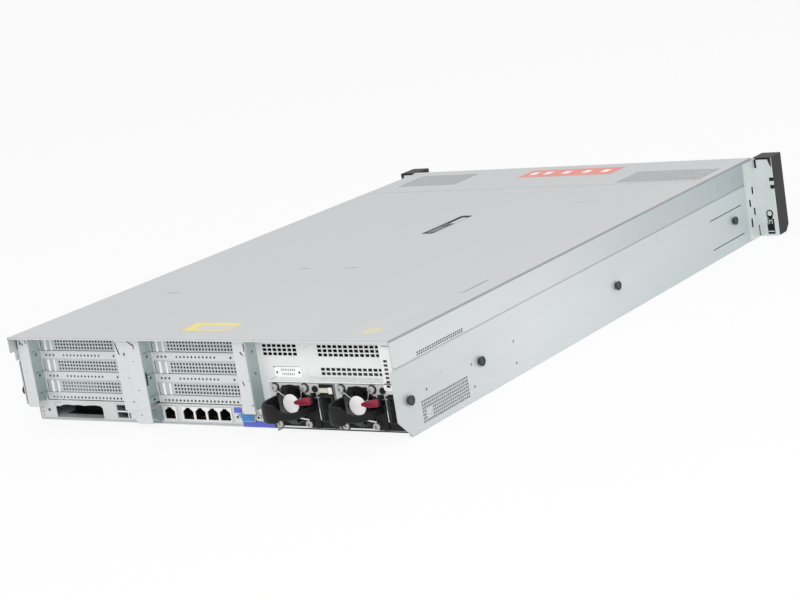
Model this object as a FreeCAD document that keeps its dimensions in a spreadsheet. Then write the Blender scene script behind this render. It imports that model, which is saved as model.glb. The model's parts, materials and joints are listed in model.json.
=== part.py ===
import FreeCAD, Part
import math
import os

import Sketcher
from FreeCAD import Placement, Rotation, Vector

# A 2U rack server.  +Z is up, the front (drive bays) faces -Y, the rear (sockets and
# power supplies) faces +Y.  The origin is the middle of the underside of the tray.
# Most rear pieces are placed by their distance from the rear edge of the top cover.

doc = FreeCAD.newDocument("rack_server")
sheet = doc.addObject("Spreadsheet::Sheet", "Sizes")


# ---------------------------------------------------------------- sizes and helpers

class Size:
    """A length that knows its number and the sheet formula that drives it."""

    def __init__(self, number, formula):
        self.number = float(number)
        self.formula = formula

    def __add__(self, other):
        return Size(self.number + number_of(other), f"({self.formula} + {formula_of(other)})")

    def __sub__(self, other):
        return Size(self.number - number_of(other), f"({self.formula} - {formula_of(other)})")

    def __mul__(self, other):
        return Size(self.number * number_of(other), f"({self.formula} * {formula_of(other)})")

    def __truediv__(self, other):
        return Size(self.number / number_of(other), f"({self.formula} / {formula_of(other)})")

    def __radd__(self, other):
        return Size(number_of(other), formula_of(other)) + self

    def __rsub__(self, other):
        return Size(number_of(other), formula_of(other)) - self

    def __rmul__(self, other):
        return self * other

    def __neg__(self):
        return self * -1


def number_of(length):
    return length.number if isinstance(length, Size) else float(length)


def formula_of(length):
    return length.formula if isinstance(length, Size) else f"({float(length):.6f})"


def dim(alias, number):
    """Adds a driving size to the sheet and returns it."""
    dim.row += 1
    sheet.set(f"A{dim.row}", alias)
    sheet.set(f"B{dim.row}", str(number))
    sheet.setAlias(f"B{dim.row}", alias)
    return Size(number, f"Sizes.{alias}")


dim.row = 0


def bind(thing, name, length):
    if isinstance(length, Size):
        thing.setExpression(name, length.formula)
    else:
        setattr(thing, name, length)


def place(thing, x, y, z, rotation=Rotation()):
    thing.Placement = Placement(Vector(number_of(x), number_of(y), number_of(z)), rotation)
    for axis, length in zip("xyz", (x, y, z)):
        if isinstance(length, Size):
            thing.setExpression(f"Placement.Base.{axis}", length.formula)
    return thing


def block(name, x, y, z):
    """A box; x, y and z are (low, high) pairs."""
    solid = doc.addObject("Part::Box", name)
    for side, (low, high) in zip(("Length", "Width", "Height"), (x, y, z)):
        bind(solid, side, high - low)
    return place(solid, x[0], y[0], z[0])


ALONG = {"X": Rotation(Vector(0, 1, 0), 90), "Y": Rotation(Vector(1, 0, 0), -90), "Z": Rotation()}


def rod(name, axis, start, radius, length):
    """A cylinder that runs from start along the positive axis."""
    solid = doc.addObject("Part::Cylinder", name)
    bind(solid, "Radius", radius)
    bind(solid, "Height", length)
    return place(solid, *start, ALONG[axis])


def fuse(name, solids):
    joined = doc.addObject("Part::MultiFuse", name)
    joined.Shapes = solids
    joined.Refine = True
    return joined


def cut(name, base, tools):
    """base less all the tools."""
    tool = tools[0]
    if len(tools) > 1:
        tool = doc.addObject("Part::Compound", name + "_tools")
        tool.Links = tools
    result = doc.addObject("Part::Cut", name)
    result.Base = base
    result.Tool = tool
    result.Refine = True
    return result


def group(name, solids):
    """One node that holds several separate solids of a kind."""
    together = doc.addObject("Part::Compound", name)
    together.Links = solids
    return together


def body(name):
    return doc.addObject("PartDesign::Body", name)


def sketch(owner, name, plane, offset, outlines=(), circles=(), held=True):
    """A sketch on one of the body's own origin planes.

    outlines are closed lists of (u, v) corners and circles are (u, v, radius).  A held
    sketch ties each corner to the sheet; a large pattern of holes is left unheld.
    """
    made = owner.newObject("Sketcher::SketchObject", name)
    support = [plane_ for plane_ in owner.Origin.OriginFeatures if plane_.Role == plane][0]
    made.AttachmentSupport = [(support, "")]
    made.MapMode = "FlatFace"
    made.AttachmentOffset = Placement(Vector(0, 0, number_of(offset)), Rotation())
    if isinstance(offset, Size):
        made.setExpression("AttachmentOffset.Base.z", offset.formula)
    for corners in outlines:
        first = made.GeometryCount
        count = len(corners)
        points = [Vector(number_of(u), number_of(v), 0) for u, v in corners]
        for i in range(count):
            made.addGeometry(Part.LineSegment(points[i], points[(i + 1) % count]))
        if held:
            for i in range(count):
                made.addConstraint(
                    Sketcher.Constraint("Coincident", first + i, 2, first + (i + 1) % count, 1))
            for i, corner in enumerate(corners):
                hold(made, first + i, 1, corner)
    for u, v, radius in circles:
        centre = Vector(number_of(u), number_of(v), 0)
        index = made.addGeometry(Part.Circle(centre, Vector(0, 0, 1), number_of(radius)))
        if held:
            hold(made, index, 3, (u, v))
            made.addConstraint(Sketcher.Constraint("Radius", index, number_of(radius)))
    return made


def hold(made, index, point, corner):
    """Ties one point of a sketch to the origin, by sheet formula where it has one."""
    for kind, length in zip(("DistanceX", "DistanceY"), corner):
        constraint = Sketcher.Constraint(kind, -1, 1, index, point, number_of(length))
        number = made.addConstraint(constraint)
        if isinstance(length, Size):
            made.setExpression(f"Constraints[{number}]", length.formula)


def pad(owner, profile, length, reverse=False):
    """Pads go -Y from XZ_Plane, +X from YZ_Plane and +Z from XY_Plane."""
    feature = owner.newObject("PartDesign::Pad", profile.Name + "_pad")
    feature.Profile = profile
    feature.Reversed = reverse
    bind(feature, "Length", length)
    owner.Tip = feature
    doc.recompute()
    return feature


def pocket(owner, profile, length=None, reverse=False, both=False):
    """A pocket, right through when no length is given; it has to remove something."""
    before = owner.Shape.Volume
    feature = owner.newObject("PartDesign::Pocket", profile.Name + "_pocket")
    feature.Profile = profile
    feature.Midplane = both
    feature.Reversed = reverse
    bind(feature, "Length", chassis_depth * 2 if length is None else length)
    owner.Tip = feature
    doc.recompute()
    if owner.Shape.Volume > before - 0.01:
        raise ValueError(f"{feature.Name} cuts nothing")
    return feature


def pattern(owner, feature, axis, length, count, plane="XY_Plane"):
    """A linear pattern of one feature along an axis of its own sketch."""
    repeat = owner.newObject("PartDesign::LinearPattern", feature.Name + "_row")
    repeat.Originals = [feature]
    repeat.Direction = (feature.Profile[0], [axis])
    bind(repeat, "Length", length)
    repeat.Occurrences = count
    owner.Tip = repeat
    doc.recompute()
    return repeat


def fillet(owner, name, radius, chosen, kind="PartDesign::Fillet"):
    """Rounds (or chamfers) the edges of a body that chosen(edge) picks."""
    last = owner.Tip
    names = [f"Edge{i + 1}" for i, edge in enumerate(last.Shape.Edges) if chosen(edge)]
    feature = owner.newObject(kind, name)
    feature.Base = (last, names)
    bind(feature, "Size" if kind.endswith("Chamfer") else "Radius", radius)
    owner.Tip = feature
    doc.recompute()
    return feature


def runs(edge, axis):
    """Whether a straight edge runs along the axis."""
    if len(edge.Vertexes) != 2 or not isinstance(edge.Curve, Part.Line):
        return False
    return abs(edge.Curve.Direction.dot(axis)) > 0.999


def near(value, target):
    return abs(value - number_of(target)) < 0.01


def rectangle(u, v):
    """Corners of a rectangle between two (low, high) pairs."""
    return [(u[0], v[0]), (u[1], v[0]), (u[1], v[1]), (u[0], v[1])]


def hole_grid(u_first, v_first, u_pitch, v_pitch, columns, rows, width, height):
    """Outlines of a grid of rectangular holes, given by its first hole's centre."""
    outlines = []
    for column in range(columns):
        for row in range(rows):
            u = number_of(u_first) + column * number_of(u_pitch)
            v = number_of(v_first) + row * number_of(v_pitch)
            outlines.append(rectangle((u - width / 2, u + width / 2), (v - height / 2, v + height / 2)))
    return outlines


X_AXIS = Vector(1, 0, 0)
Y_AXIS = Vector(0, 1, 0)
Z_AXIS = Vector(0, 0, 1)

# ---------------------------------------------------------------- driving sizes (mm)

chassis_width = dim("chassis_width", 438.0)
chassis_depth = dim("chassis_depth", 705.0)
chassis_height = dim("chassis_height", 87.3)
tray_gauge = dim("tray_gauge", 1.2)
cover_gauge = dim("cover_gauge", 1.0)
panel_gauge = dim("panel_gauge", 1.0)
skirt_bottom = dim("skirt_bottom", 63.0)
tray_top = dim("tray_top", 86.2)
joggle_step = dim("joggle_step", 1.4)
wall_overhang = dim("wall_overhang", 5.0)
rear_wall_inset = dim("rear_wall_inset", 23.0)
flange_inset = dim("flange_inset", 9.0)
seam_from_rear = dim("seam_from_rear", 594.0)
hem_height = dim("hem_height", 2.0)

rack_width = dim("rack_width", 482.6)
rack_hole_spacing = dim("rack_hole_spacing", 465.1)
rack_hole_height = dim("rack_hole_height", 21.8)
ear_depth = dim("ear_depth", 25.5)
ear_gauge = dim("ear_gauge", 2.0)
stud_radius = dim("stud_radius", 4.5)
stud_reach = dim("stud_reach", 3.7)
stud_height = dim("stud_height", 32.0)

slot_pitch = dim("slot_pitch", 20.32)
slot_opening = dim("slot_opening", 12.1)
first_slot = dim("first_slot", 27.3)
bracket_length = dim("bracket_length", 118.4)
bracket_width = dim("bracket_width", 18.4)
riser_left = dim("riser_left", 203.0)
riser_pitch = dim("riser_pitch", 138.5)
riser_recess = dim("riser_recess", 121.5)
riser_right_flange = dim("riser_right_flange", 13.3)
riser_flange_bottom = dim("riser_flange_bottom", 16.6)
riser_bottom = dim("riser_bottom", 19.8)
riser_top = dim("riser_top", 85.9)

psu_width = dim("psu_width", 69.0)
psu_height = dim("psu_height", 40.0)
psu_length = dim("psu_length", 190.0)
psu_pitch = dim("psu_pitch", 70.8)
psu_left = dim("psu_left", -77.5)
psu_floor = dim("psu_floor", 6.3)
psu_shell = dim("psu_shell", 1.0)
psu_fan_radius = dim("psu_fan_radius", 18.6)
psu_fan_across = dim("psu_fan_across", 22.7)

board_floor = dim("board_floor", 4.6)
board_thickness = dim("board_thickness", 1.6)
board_rear_inset = dim("board_rear_inset", 50.0)

fan_size = dim("fan_size", 80.0)
fan_depth = dim("fan_depth", 38.0)
fan_pitch = dim("fan_pitch", 107.0)
fan_bore = dim("fan_bore", 38.0)
fan_floor = dim("fan_floor", 2.8)
fan_front_inset = dim("fan_front_inset", 507.2)

bay_pitch_across = dim("bay_pitch_across", 108.0)
bay_pitch_up = dim("bay_pitch_up", 28.0)
bay_width = dim("bay_width", 106.6)
bay_height = dim("bay_height", 27.2)
bay_depth = dim("bay_depth", 166.0)
drive_width = dim("drive_width", 101.6)
drive_height = dim("drive_height", 26.1)
drive_length = dim("drive_length", 147.0)

doc.recompute()

half_width = chassis_width / 2
board_top = board_floor + board_thickness
cover_under = chassis_height - cover_gauge


def rear(offset):
    """A Y position given from the rear edge of the top cover."""
    return chassis_depth / 2 + offset


def front(offset):
    """A Y position given from the front edge of the tray."""
    return chassis_depth / -2 + offset


rear_wall = rear(-rear_wall_inset)
flange_face = rear(-flange_inset)
wall_inside = half_width - joggle_step - tray_gauge

# ---------------------------------------------------------------- sheet-metal casing


def make_chassis_tray():
    """Floor and side walls, bent from one sheet, with the walls joggled under the cover."""
    tray = body("chassis_tray")
    upper = half_width - joggle_step
    inner = half_width - tray_gauge
    right = [(half_width, 0), (half_width, skirt_bottom - 1.9), (upper, skirt_bottom - 0.4),
             (upper, tray_top), (upper - tray_gauge, tray_top),
             (upper - tray_gauge, skirt_bottom - 0.8), (inner, skirt_bottom - 2.3),
             (inner, tray_gauge)]
    left = [(-x, z) for x, z in reversed(right)]
    profile = sketch(tray, "tray_profile", "XZ_Plane", -rear(wall_overhang), [right + left])
    pad(tray, profile, chassis_depth + wall_overhang)
    fillet(tray, "tray_bends", 1.5, lambda edge: runs(edge, Y_AXIS)
           and near(edge.CenterOfMass.z, 0) and near(abs(edge.CenterOfMass.x), half_width))

    beyond = rear(wall_overhang + 1.0)
    plain_side = [(rear(-rear_wall_inset - 1.0), -1), (beyond, -1), (beyond, 90),
                  (flange_face, 90), (flange_face, 19), (rear(-rear_wall_inset - 1.0), 19)]
    pocket(tray, sketch(tray, "plain_side_end", "YZ_Plane", 0, [plain_side]), reverse=True)
    guard_side = [(rear(-12.0), -1), (beyond, -1), (beyond, 90), (rear(-1.0), 90),
                  (rear(-1.0), skirt_bottom - 1.0), (rear(wall_overhang), skirt_bottom - 1.0),
                  (rear(wall_overhang), 18), (rear(-12.0), 1.3)]
    pocket(tray, sketch(tray, "guard_side_end", "YZ_Plane", 0, [guard_side]))
    floor_end = rectangle((-inner + 1.0, inner - 1.0), (rear_wall, rear(-10.0)))
    pocket(tray, sketch(tray, "floor_end", "XY_Plane", 0, [floor_end]), tray_gauge + 1.0, reverse=True)

    vents = hole_grid(rear(-101.8), 8.9, 9.8, 6.6, 8, 3, 7.9, 4.8)
    pocket(tray, sketch(tray, "side_vents", "YZ_Plane", 0, vents, held=False), both=True)
    window = rectangle((rear(-110.0), rear(-34.0)), (skirt_bottom + 1.2, skirt_bottom + 4.6))
    pocket(tray, sketch(tray, "upper_vent_window", "YZ_Plane", 0, [window]), both=True)
    return tray


STUD_INSETS = (14.0, 127.0, 380.0, 645.0)


def make_rail_studs():
    """Shoulder studs riveted to the side walls; the rack rails hook on to them."""
    studs = []
    for side, label in ((1, "left"), (-1, "right")):
        for number, back in enumerate(STUD_INSETS, 1):
            name = f"stud_{label}_{number}"
            reach = stud_reach - 1.7
            pieces = [("neck", half_width, 3.0, reach), ("head", half_width + reach, stud_radius, 1.7)]
            solids = []
            for part_name, distance, radius, length in pieces:
                start = distance if side > 0 else -(distance + length)
                solids.append(rod(f"{name}_{part_name}", "X", (start, rear(-back), stud_height),
                                  radius, length))
            studs.append(fuse(name, solids))
    return group("rail_studs", studs)


def cover_section(owner, name, rear_end, length):
    """The folded section that both top covers share: a lid with a skirt down each side."""
    lid = [(-half_width, skirt_bottom), (-half_width, chassis_height), (half_width, chassis_height),
           (half_width, skirt_bottom), (half_width - cover_gauge, skirt_bottom),
           (half_width - cover_gauge, cover_under), (cover_gauge - half_width, cover_under),
           (cover_gauge - half_width, skirt_bottom)]
    pad(owner, sketch(owner, name, "XZ_Plane", -rear_end, [lid]), length)
    fillet(owner, name + "_bends", 1.3, lambda edge: runs(edge, Y_AXIS)
           and near(edge.CenterOfMass.z, chassis_height))


def make_front_top_cover():
    cover = body("front_top_cover")
    cover_section(cover, "front_cover_profile", rear(-seam_from_rear - 0.5),
                  chassis_depth - seam_from_rear - 0.5)
    vents = (hole_grid(125.0, rear(-677.0), 19.2, 9.0, 4, 6, 17.0, 5.0)
             + hole_grid(-198.6, rear(-650.0), 19.8, 9.0, 5, 6, 17.6, 5.0))
    pocket(cover, sketch(cover, "lid_vents", "XY_Plane", 0, vents, held=False), both=True)
    return cover


LATCH_ACROSS = (-13.0, 1.6)
LATCH_ALONG = (rear(-463.0), rear(-383.0))


def make_access_panel():
    """The service cover over the rear of the chassis, with a folded hem at its rear edge."""
    panel = body("access_panel")
    cover_section(panel, "panel_profile", rear(0), seam_from_rear - 0.5)
    edge = half_width - cover_gauge
    hem = rectangle((-edge, edge), (chassis_height - hem_height, cover_under))
    pad(panel, sketch(panel, "rear_hem", "XZ_Plane", -rear(0), [hem]), cover_gauge)
    notch = rectangle((rear(-6.0), rear(1.0)), (skirt_bottom - 1.0, 72.0))
    pocket(panel, sketch(panel, "skirt_notch", "YZ_Plane", 0, [notch]), both=True)
    pocket(panel, sketch(panel, "latch_opening", "XY_Plane", 0, [rectangle(LATCH_ACROSS, LATCH_ALONG)]),
           both=True)
    slots = [rectangle((135.0, 153.5), (rear(-158.3), rear(-156.7))),
             rectangle((44.0, 55.0), (rear(-247.1), rear(-245.5))),
             rectangle((-14.8, 1.6), (rear(-247.8), rear(-246.2)))]
    pocket(panel, sketch(panel, "lid_slots", "XY_Plane", 0, slots), both=True)
    vents = hole_grid(rear(-104.0), 65.9, 10.8, 1.0, 7, 1, 8.6, 3.2)
    pocket(panel, sketch(panel, "skirt_vents", "YZ_Plane", 0, vents, held=False), both=True)
    return panel


LATCH_PIN = (rear(-389.0), 83.6)


def make_cover_latch():
    """The recessed latch of the access panel: tub, lever and the pin that it turns on."""
    low_x, high_x = LATCH_ACROSS
    low_y, high_y = LATCH_ALONG
    tub = fuse("latch_tub", [
        block("tub_box", (low_x - 2.5, high_x + 2.5), (low_y - 3.0, high_y + 3.0), (76.4, cover_under)),
        block("tub_rim", (low_x + 0.2, high_x - 0.2), (low_y + 0.2, high_y - 0.2),
              (cover_under, chassis_height - 0.2))])
    well = block("tub_well", (low_x + 1.2, high_x - 1.2), (low_y + 1.2, high_y - 1.2), (77.5, 89.0))
    pin_y, pin_z = LATCH_PIN
    bore = rod("tub_bore", "X", (low_x - 2.0, pin_y, pin_z), 1.5, high_x - low_x + 4.0)
    hollow = cut("latch_tub_hollow", tub, [well, bore])
    lock = block("tub_lock", (low_x + 4.0, high_x - 4.0), (low_y + 6.0, low_y + 26.0), (77.5, 85.0))
    base = fuse("cover_latch_base", [hollow, lock])

    lever_x = (low_x + 1.6, high_x - 1.6)
    plate = block("lever_plate", lever_x, (pin_y - 41.0, pin_y - 2.0), (pin_z + 0.6, chassis_height - 0.3))
    lip = block("lever_lip", lever_x, (pin_y - 41.0, pin_y - 39.0), (pin_z - 2.4, pin_z + 0.6))
    barrel = rod("lever_barrel", "X", (lever_x[0], pin_y, pin_z), 3.2, lever_x[1] - lever_x[0])
    hole = rod("lever_hole", "X", (lever_x[0] - 1.0, pin_y, pin_z), 1.55, lever_x[1] - lever_x[0] + 2.0)
    lever = cut("cover_latch_lever", fuse("lever_solid", [plate, lip, barrel]), [hole])

    pin = rod("cover_latch_pin", "X", (low_x - 2.0, pin_y, pin_z), 1.5, high_x - low_x + 4.0)
    return base, lever, pin


# ---------------------------------------------------------------- rear panels and sockets

JACK_PITCH = 14.3
LAN_CENTRE = 11.4
MANAGEMENT_CENTRE = 54.6
USB_ACROSS = (91.9, 119.9)
VIDEO_ACROSS = (-52.0, -21.5)
BLOCK_UP = (3.3, 17.0)


def make_io_panel():
    """The panel that the board's sockets look out of, with a mezzanine opening and a folded post."""
    panel = body("io_panel")
    plate = rectangle((psu_left + 1.6, half_width - 1.6), (tray_gauge, riser_bottom - 0.3))
    mezzanine = [(137.6, 2.6), (197.2, 2.6), (197.2, 12.6), (194.2, 14.8), (140.6, 14.8), (137.6, 12.6)]
    lan = rectangle((LAN_CENTRE - 29.1, LAN_CENTRE + 29.1), (3.2, 17.1))
    management = rectangle((MANAGEMENT_CENTRE - 7.9, MANAGEMENT_CENTRE + 7.9), (3.2, 17.1))
    usb = rectangle((USB_ACROSS[0] - 0.1, USB_ACROSS[1] + 0.1), (3.2, 17.1))
    video = rectangle((VIDEO_ACROSS[0] - 0.1, VIDEO_ACROSS[1] + 0.1), (3.2, 17.1))
    outlines = [plate, mezzanine, lan, management, usb, video]
    screw = [(206.5, 9.4, 2.4)]
    pad(panel, sketch(panel, "io_plate", "XZ_Plane", -(rear_wall - 1.0), outlines, screw), panel_gauge)
    lip = rectangle((psu_left + 1.6, half_width - 1.6), (tray_gauge, tray_gauge + panel_gauge))
    pad(panel, sketch(panel, "io_lip", "XZ_Plane", -(rear_wall - 1.0), [lip]), 11.0)

    post_left = riser_left - riser_pitch
    post_top = riser_flange_bottom - 0.3
    gusset = [(rear_wall - 1.0, 3.0), (rear_wall + 4.0, 3.6), (flange_face, 10.0), (flange_face, post_top),
              (rear_wall - 1.0, post_top)]
    pad(panel, sketch(panel, "io_gusset", "YZ_Plane", post_left, [gusset]), panel_gauge)
    post = [(post_left, 4.0), (post_left + 17.0, 4.0), (post_left + 28.0, post_top), (post_left, post_top)]
    pad(panel, sketch(panel, "io_post", "XZ_Plane", -flange_face, [post]), panel_gauge)
    return panel


def make_usb_stack():
    """Two stacked pairs of USB sockets in one shell."""
    middle = (USB_ACROSS[0] + USB_ACROSS[1]) / 2
    shell = block("usb_shell", USB_ACROSS, (rear(-board_rear_inset), rear_wall - 0.4), BLOCK_UP)
    ports = []
    for column in (-1, 1):
        for row, height in enumerate((4.0, 10.9)):
            centre = middle + column * 7.0
            cavity = block(f"usb_port_{column}_{row}", (centre - 6.3, centre + 6.3),
                           (rear(-40.0), rear(0)), (height, height + 5.4))
            tongue = block(f"usb_tongue_{column}_{row}", (centre - 5.4, centre + 5.4),
                           (rear(-40.0), rear(-27.0)), (height + 3.1, height + 4.5))
            ports.append(cut(f"usb_hollow_{column}_{row}", cavity, [tongue]))
    return cut("usb_connector_stack", shell, ports)


def make_jacks(name, centre, count):
    """A row of modular jacks in one shield, each with the step for the plug's clip."""
    half = JACK_PITCH * count / 2 + (0.4 if count > 1 else 0.6)
    shield = block(name + "_shield", (centre - half, centre + half),
                   (rear(-board_rear_inset), rear_wall), BLOCK_UP)
    openings = []
    for number in range(count):
        middle = centre + (number - (count - 1) / 2) * JACK_PITCH
        openings.append(fuse(f"{name}_opening_{number}", [
            block(f"{name}_mouth_{number}", (middle - 6.0, middle + 6.0), (rear(-44.0), rear(0)),
                  (5.0, 12.2)),
            block(f"{name}_step_{number}", (middle - 4.2, middle + 4.2), (rear(-44.0), rear(0)),
                  (12.2, 14.2)),
            block(f"{name}_clip_{number}", (middle - 2.6, middle + 2.6), (rear(-44.0), rear(0)),
                  (14.2, 16.0))]))
    return cut(name, shield, openings)


def make_video_connector():
    """A fifteen-way D-shaped video socket with its two jack screws."""
    connector = body("video_connector")
    centre = (VIDEO_ACROSS[0] + VIDEO_ACROSS[1]) / 2
    height = 10.2
    housing = rectangle(VIDEO_ACROSS, BLOCK_UP)
    face = rear_wall - 0.6
    pad(connector, sketch(connector, "housing", "XZ_Plane", -face, [housing]),
        face - rear(-board_rear_inset))
    shell = [(centre - 8.6, height + 4.2), (centre + 8.6, height + 4.2), (centre + 7.2, height - 4.2),
             (centre - 7.2, height - 4.2)]
    pad(connector, sketch(connector, "shell", "XZ_Plane", -face, [shell]), 5.6, reverse=True)
    mouth = [(centre - 7.8, height + 3.5), (centre + 7.8, height + 3.5), (centre + 6.5, height - 3.5),
             (centre - 6.5, height - 3.5)]
    pocket(connector, sketch(connector, "mouth", "XZ_Plane", -(face + 5.6), [mouth]), 5.0, reverse=True)
    screws = [(centre - 12.5, height, 2.6), (centre + 12.5, height, 2.6)]
    pad(connector, sketch(connector, "jack_screws", "XZ_Plane", -face, circles=screws), 4.5, reverse=True)
    return connector


def make_vent_panel():
    """The perforated wall above the power supplies, with a stepped-out edge by the side wall."""
    panel = body("vent_panel")
    step = -199.8
    up = (psu_floor + psu_height + 0.4 + panel_gauge, riser_top)
    plate = [rectangle((step, riser_left - riser_pitch - riser_recess - 1.1), up)]
    rows = (hole_grid(-100.1, 68.6, 5.4, 3.4, 7, 3, 4.0, 2.3)
            + hole_grid(-186.4, 68.3, 5.4, 3.4, 12, 3, 4.0, 2.3)
            + hole_grid(-187.2, 51.8, 5.4, 3.4, 12, 2, 4.0, 2.3))
    pad(panel, sketch(panel, "vent_plate", "XZ_Plane", -rear_wall, plate), panel_gauge)
    pocket(panel, sketch(panel, "vent_rows", "XZ_Plane", -(rear_wall + 1.0), rows, held=False),
           panel_gauge + 2.0, reverse=True)
    wall = rectangle((step - panel_gauge, step), up)
    pad(panel, sketch(panel, "step_wall", "XZ_Plane", -flange_face, [wall]),
        rear_wall_inset - flange_inset + panel_gauge)
    strip = rectangle((-wall_inside, step), up)
    pad(panel, sketch(panel, "edge_strip", "XZ_Plane", -flange_face, [strip]), panel_gauge)
    column = hole_grid(-205.2, 49.9, 1.0, 3.0, 1, 7, 3.8, 2.0)
    pocket(panel, sketch(panel, "edge_column", "XZ_Plane", -(flange_face + 1.0), column, held=False),
           panel_gauge + 2.0, reverse=True)
    return panel


def make_serial_blank():
    """The plate over the unused serial-port opening."""
    blank = body("serial_port_blank")
    outline = [(-103.6, 48.4), (-73.6, 48.4), (-73.6, 57.8), (-101.8, 57.8), (-103.6, 56.0)]
    pad(blank, sketch(blank, "blank_plate", "XZ_Plane", -rear_wall, [outline]), 0.9, reverse=True)
    return blank


# ---------------------------------------------------------------- riser cages and slot covers

def slot_centre(row):
    return first_slot + slot_opening / 2 + slot_pitch * row


def make_riser_cage(number):
    """A lift-out cage: slotted rear plate set back between two flanges, side plate for the card."""
    left = riser_left - riser_pitch * (number - 1)
    name = f"riser_cage_{number}"
    up = (riser_bottom, riser_top)
    flange_end = wall_inside if number == 1 else left + 15.6
    solids = [
        block(name + "_plate", (left - riser_recess, left), (rear_wall - panel_gauge, rear_wall), up),
        block(name + "_side", (left, left + panel_gauge), (rear(-225.0), flange_face), (22.0, riser_top)),
        block(name + "_flange", (left, flange_end), (flange_face - panel_gauge, flange_face),
              (riser_flange_bottom, riser_top)),
        block(name + "_lip", (left - riser_recess - panel_gauge, left - riser_recess),
              (rear_wall - panel_gauge, flange_face), up),
        block(name + "_right_flange", (left - riser_recess, left - riser_recess + riser_right_flange),
              (flange_face - panel_gauge, flange_face), (riser_flange_bottom, riser_top)),
        block(name + "_bar", (left - riser_recess, left), (rear_wall - 15.0, rear_wall - panel_gauge),
              (riser_top - panel_gauge, riser_top))]
    for row, (back, height) in enumerate(((75.0, 40.0), (75.0, 75.0), (205.0, 40.0), (205.0, 75.0))):
        solids.append(block(f"{name}_tab_{row}", (left - 3.0, left), (rear(-back - 4.0), rear(-back + 4.0)),
                            (height - 2.5, height + 2.5)))
    openings = []
    for row in range(3):
        centre = slot_centre(row)
        openings.append(block(f"{name}_slot_{row}", (left - riser_recess + 0.5, left - 1.5),
                              (rear_wall - 2.0, rear_wall + 1.0),
                              (centre - slot_opening / 2, centre + slot_opening / 2)))
    return cut(name, fuse(name + "_folded", solids), openings)


def make_slot_cover(number):
    """A bracket-shaped blank: perforated, with two stiffening ribs and a screw tab."""
    cover = body(f"slot_cover_{number}")
    left = riser_left - riser_pitch * ((number - 1) // 3)
    centre = slot_centre(2 - (number - 1) % 3)
    face = rear_wall - panel_gauge
    plate = rectangle((left - 2.0 - bracket_length, left - 2.0),
                      (centre - bracket_width / 2, centre + bracket_width / 2))
    pad(cover, sketch(cover, f"cover_{number}_plate", "XZ_Plane", -face, [plate]), 0.9)
    tab = rectangle((left - 2.0 - bracket_length, left - 1.1 - bracket_length),
                    (centre - 5.6, centre + 5.6))
    pad(cover, sketch(cover, f"cover_{number}_tab", "XZ_Plane", -face, [tab]), 10.6, reverse=True)
    ribs = [rectangle((left - across - 1.0, left - across + 1.0), (centre - 4.4, centre + 4.4))
            for across in (7.8, 16.0)]
    pad(cover, sketch(cover, f"cover_{number}_ribs", "XZ_Plane", -face, ribs), 0.7, reverse=True)
    vents = hole_grid(left - 84.0, centre - 2.7, 18.3, 2.7, 4, 3, 16.2, 1.6)
    pocket(cover, sketch(cover, f"cover_{number}_vents", "XZ_Plane", -(face + 1.0), vents, held=False),
           3.0, reverse=True)
    return cover


def make_riser_boards():
    """The two cards that stand in the cages, each with three slot connectors."""
    cards = []
    for number in (1, 2):
        left = riser_left - riser_pitch * (number - 1)
        name = f"riser_card_{number}"
        solids = [block(name + "_board", (left - 4.6, left - 3.0), (rear(-215.0), rear(-60.0)), (20.0, 83.0))]
        for row in range(3):
            centre = slot_centre(row)
            solids.append(block(f"{name}_connector_{row}", (left - 15.6, left - 4.6),
                                (rear(-190.0), rear(-101.0)), (centre - 3.8, centre + 3.8)))
        cards.append(fuse(name, solids))
    return group("riser_boards", cards)


# ---------------------------------------------------------------- power supplies

def make_psu_cage():
    """The sheet-metal bay that both power supplies slide into."""
    top = psu_floor + psu_height + 0.4
    right = 1.6 - half_width
    back = (rear(-200.0), rear(-12.0))
    divider = psu_left - psu_pitch + 0.4
    solids = [
        block("psu_bay_top", (right, psu_left + 1.3), (rear(-200.0), rear_wall - panel_gauge),
              (top, top + panel_gauge)),
        block("psu_bay_side", (psu_left + 0.3, psu_left + 1.3), back, (tray_gauge, top + panel_gauge)),
        block("psu_bay_divider", (divider, divider + 1.0), back, (psu_floor - 1.3, top)),
        block("psu_bay_shelf", (right, psu_left + 0.3), back, (psu_floor - 1.3, psu_floor - 0.3)),
        block("psu_bay_foot", (right, right + 2.0), back, (tray_gauge, psu_floor - 1.3))]
    joined = fuse("psu_bay_folded", solids)
    relief = block("psu_bay_relief", (right - 1.0, psu_left + 0.2),
                   (rear_wall - panel_gauge, rear(0)), (top - 0.1, top + 2.0))
    return cut("psu_cage", joined, [relief])


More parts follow.
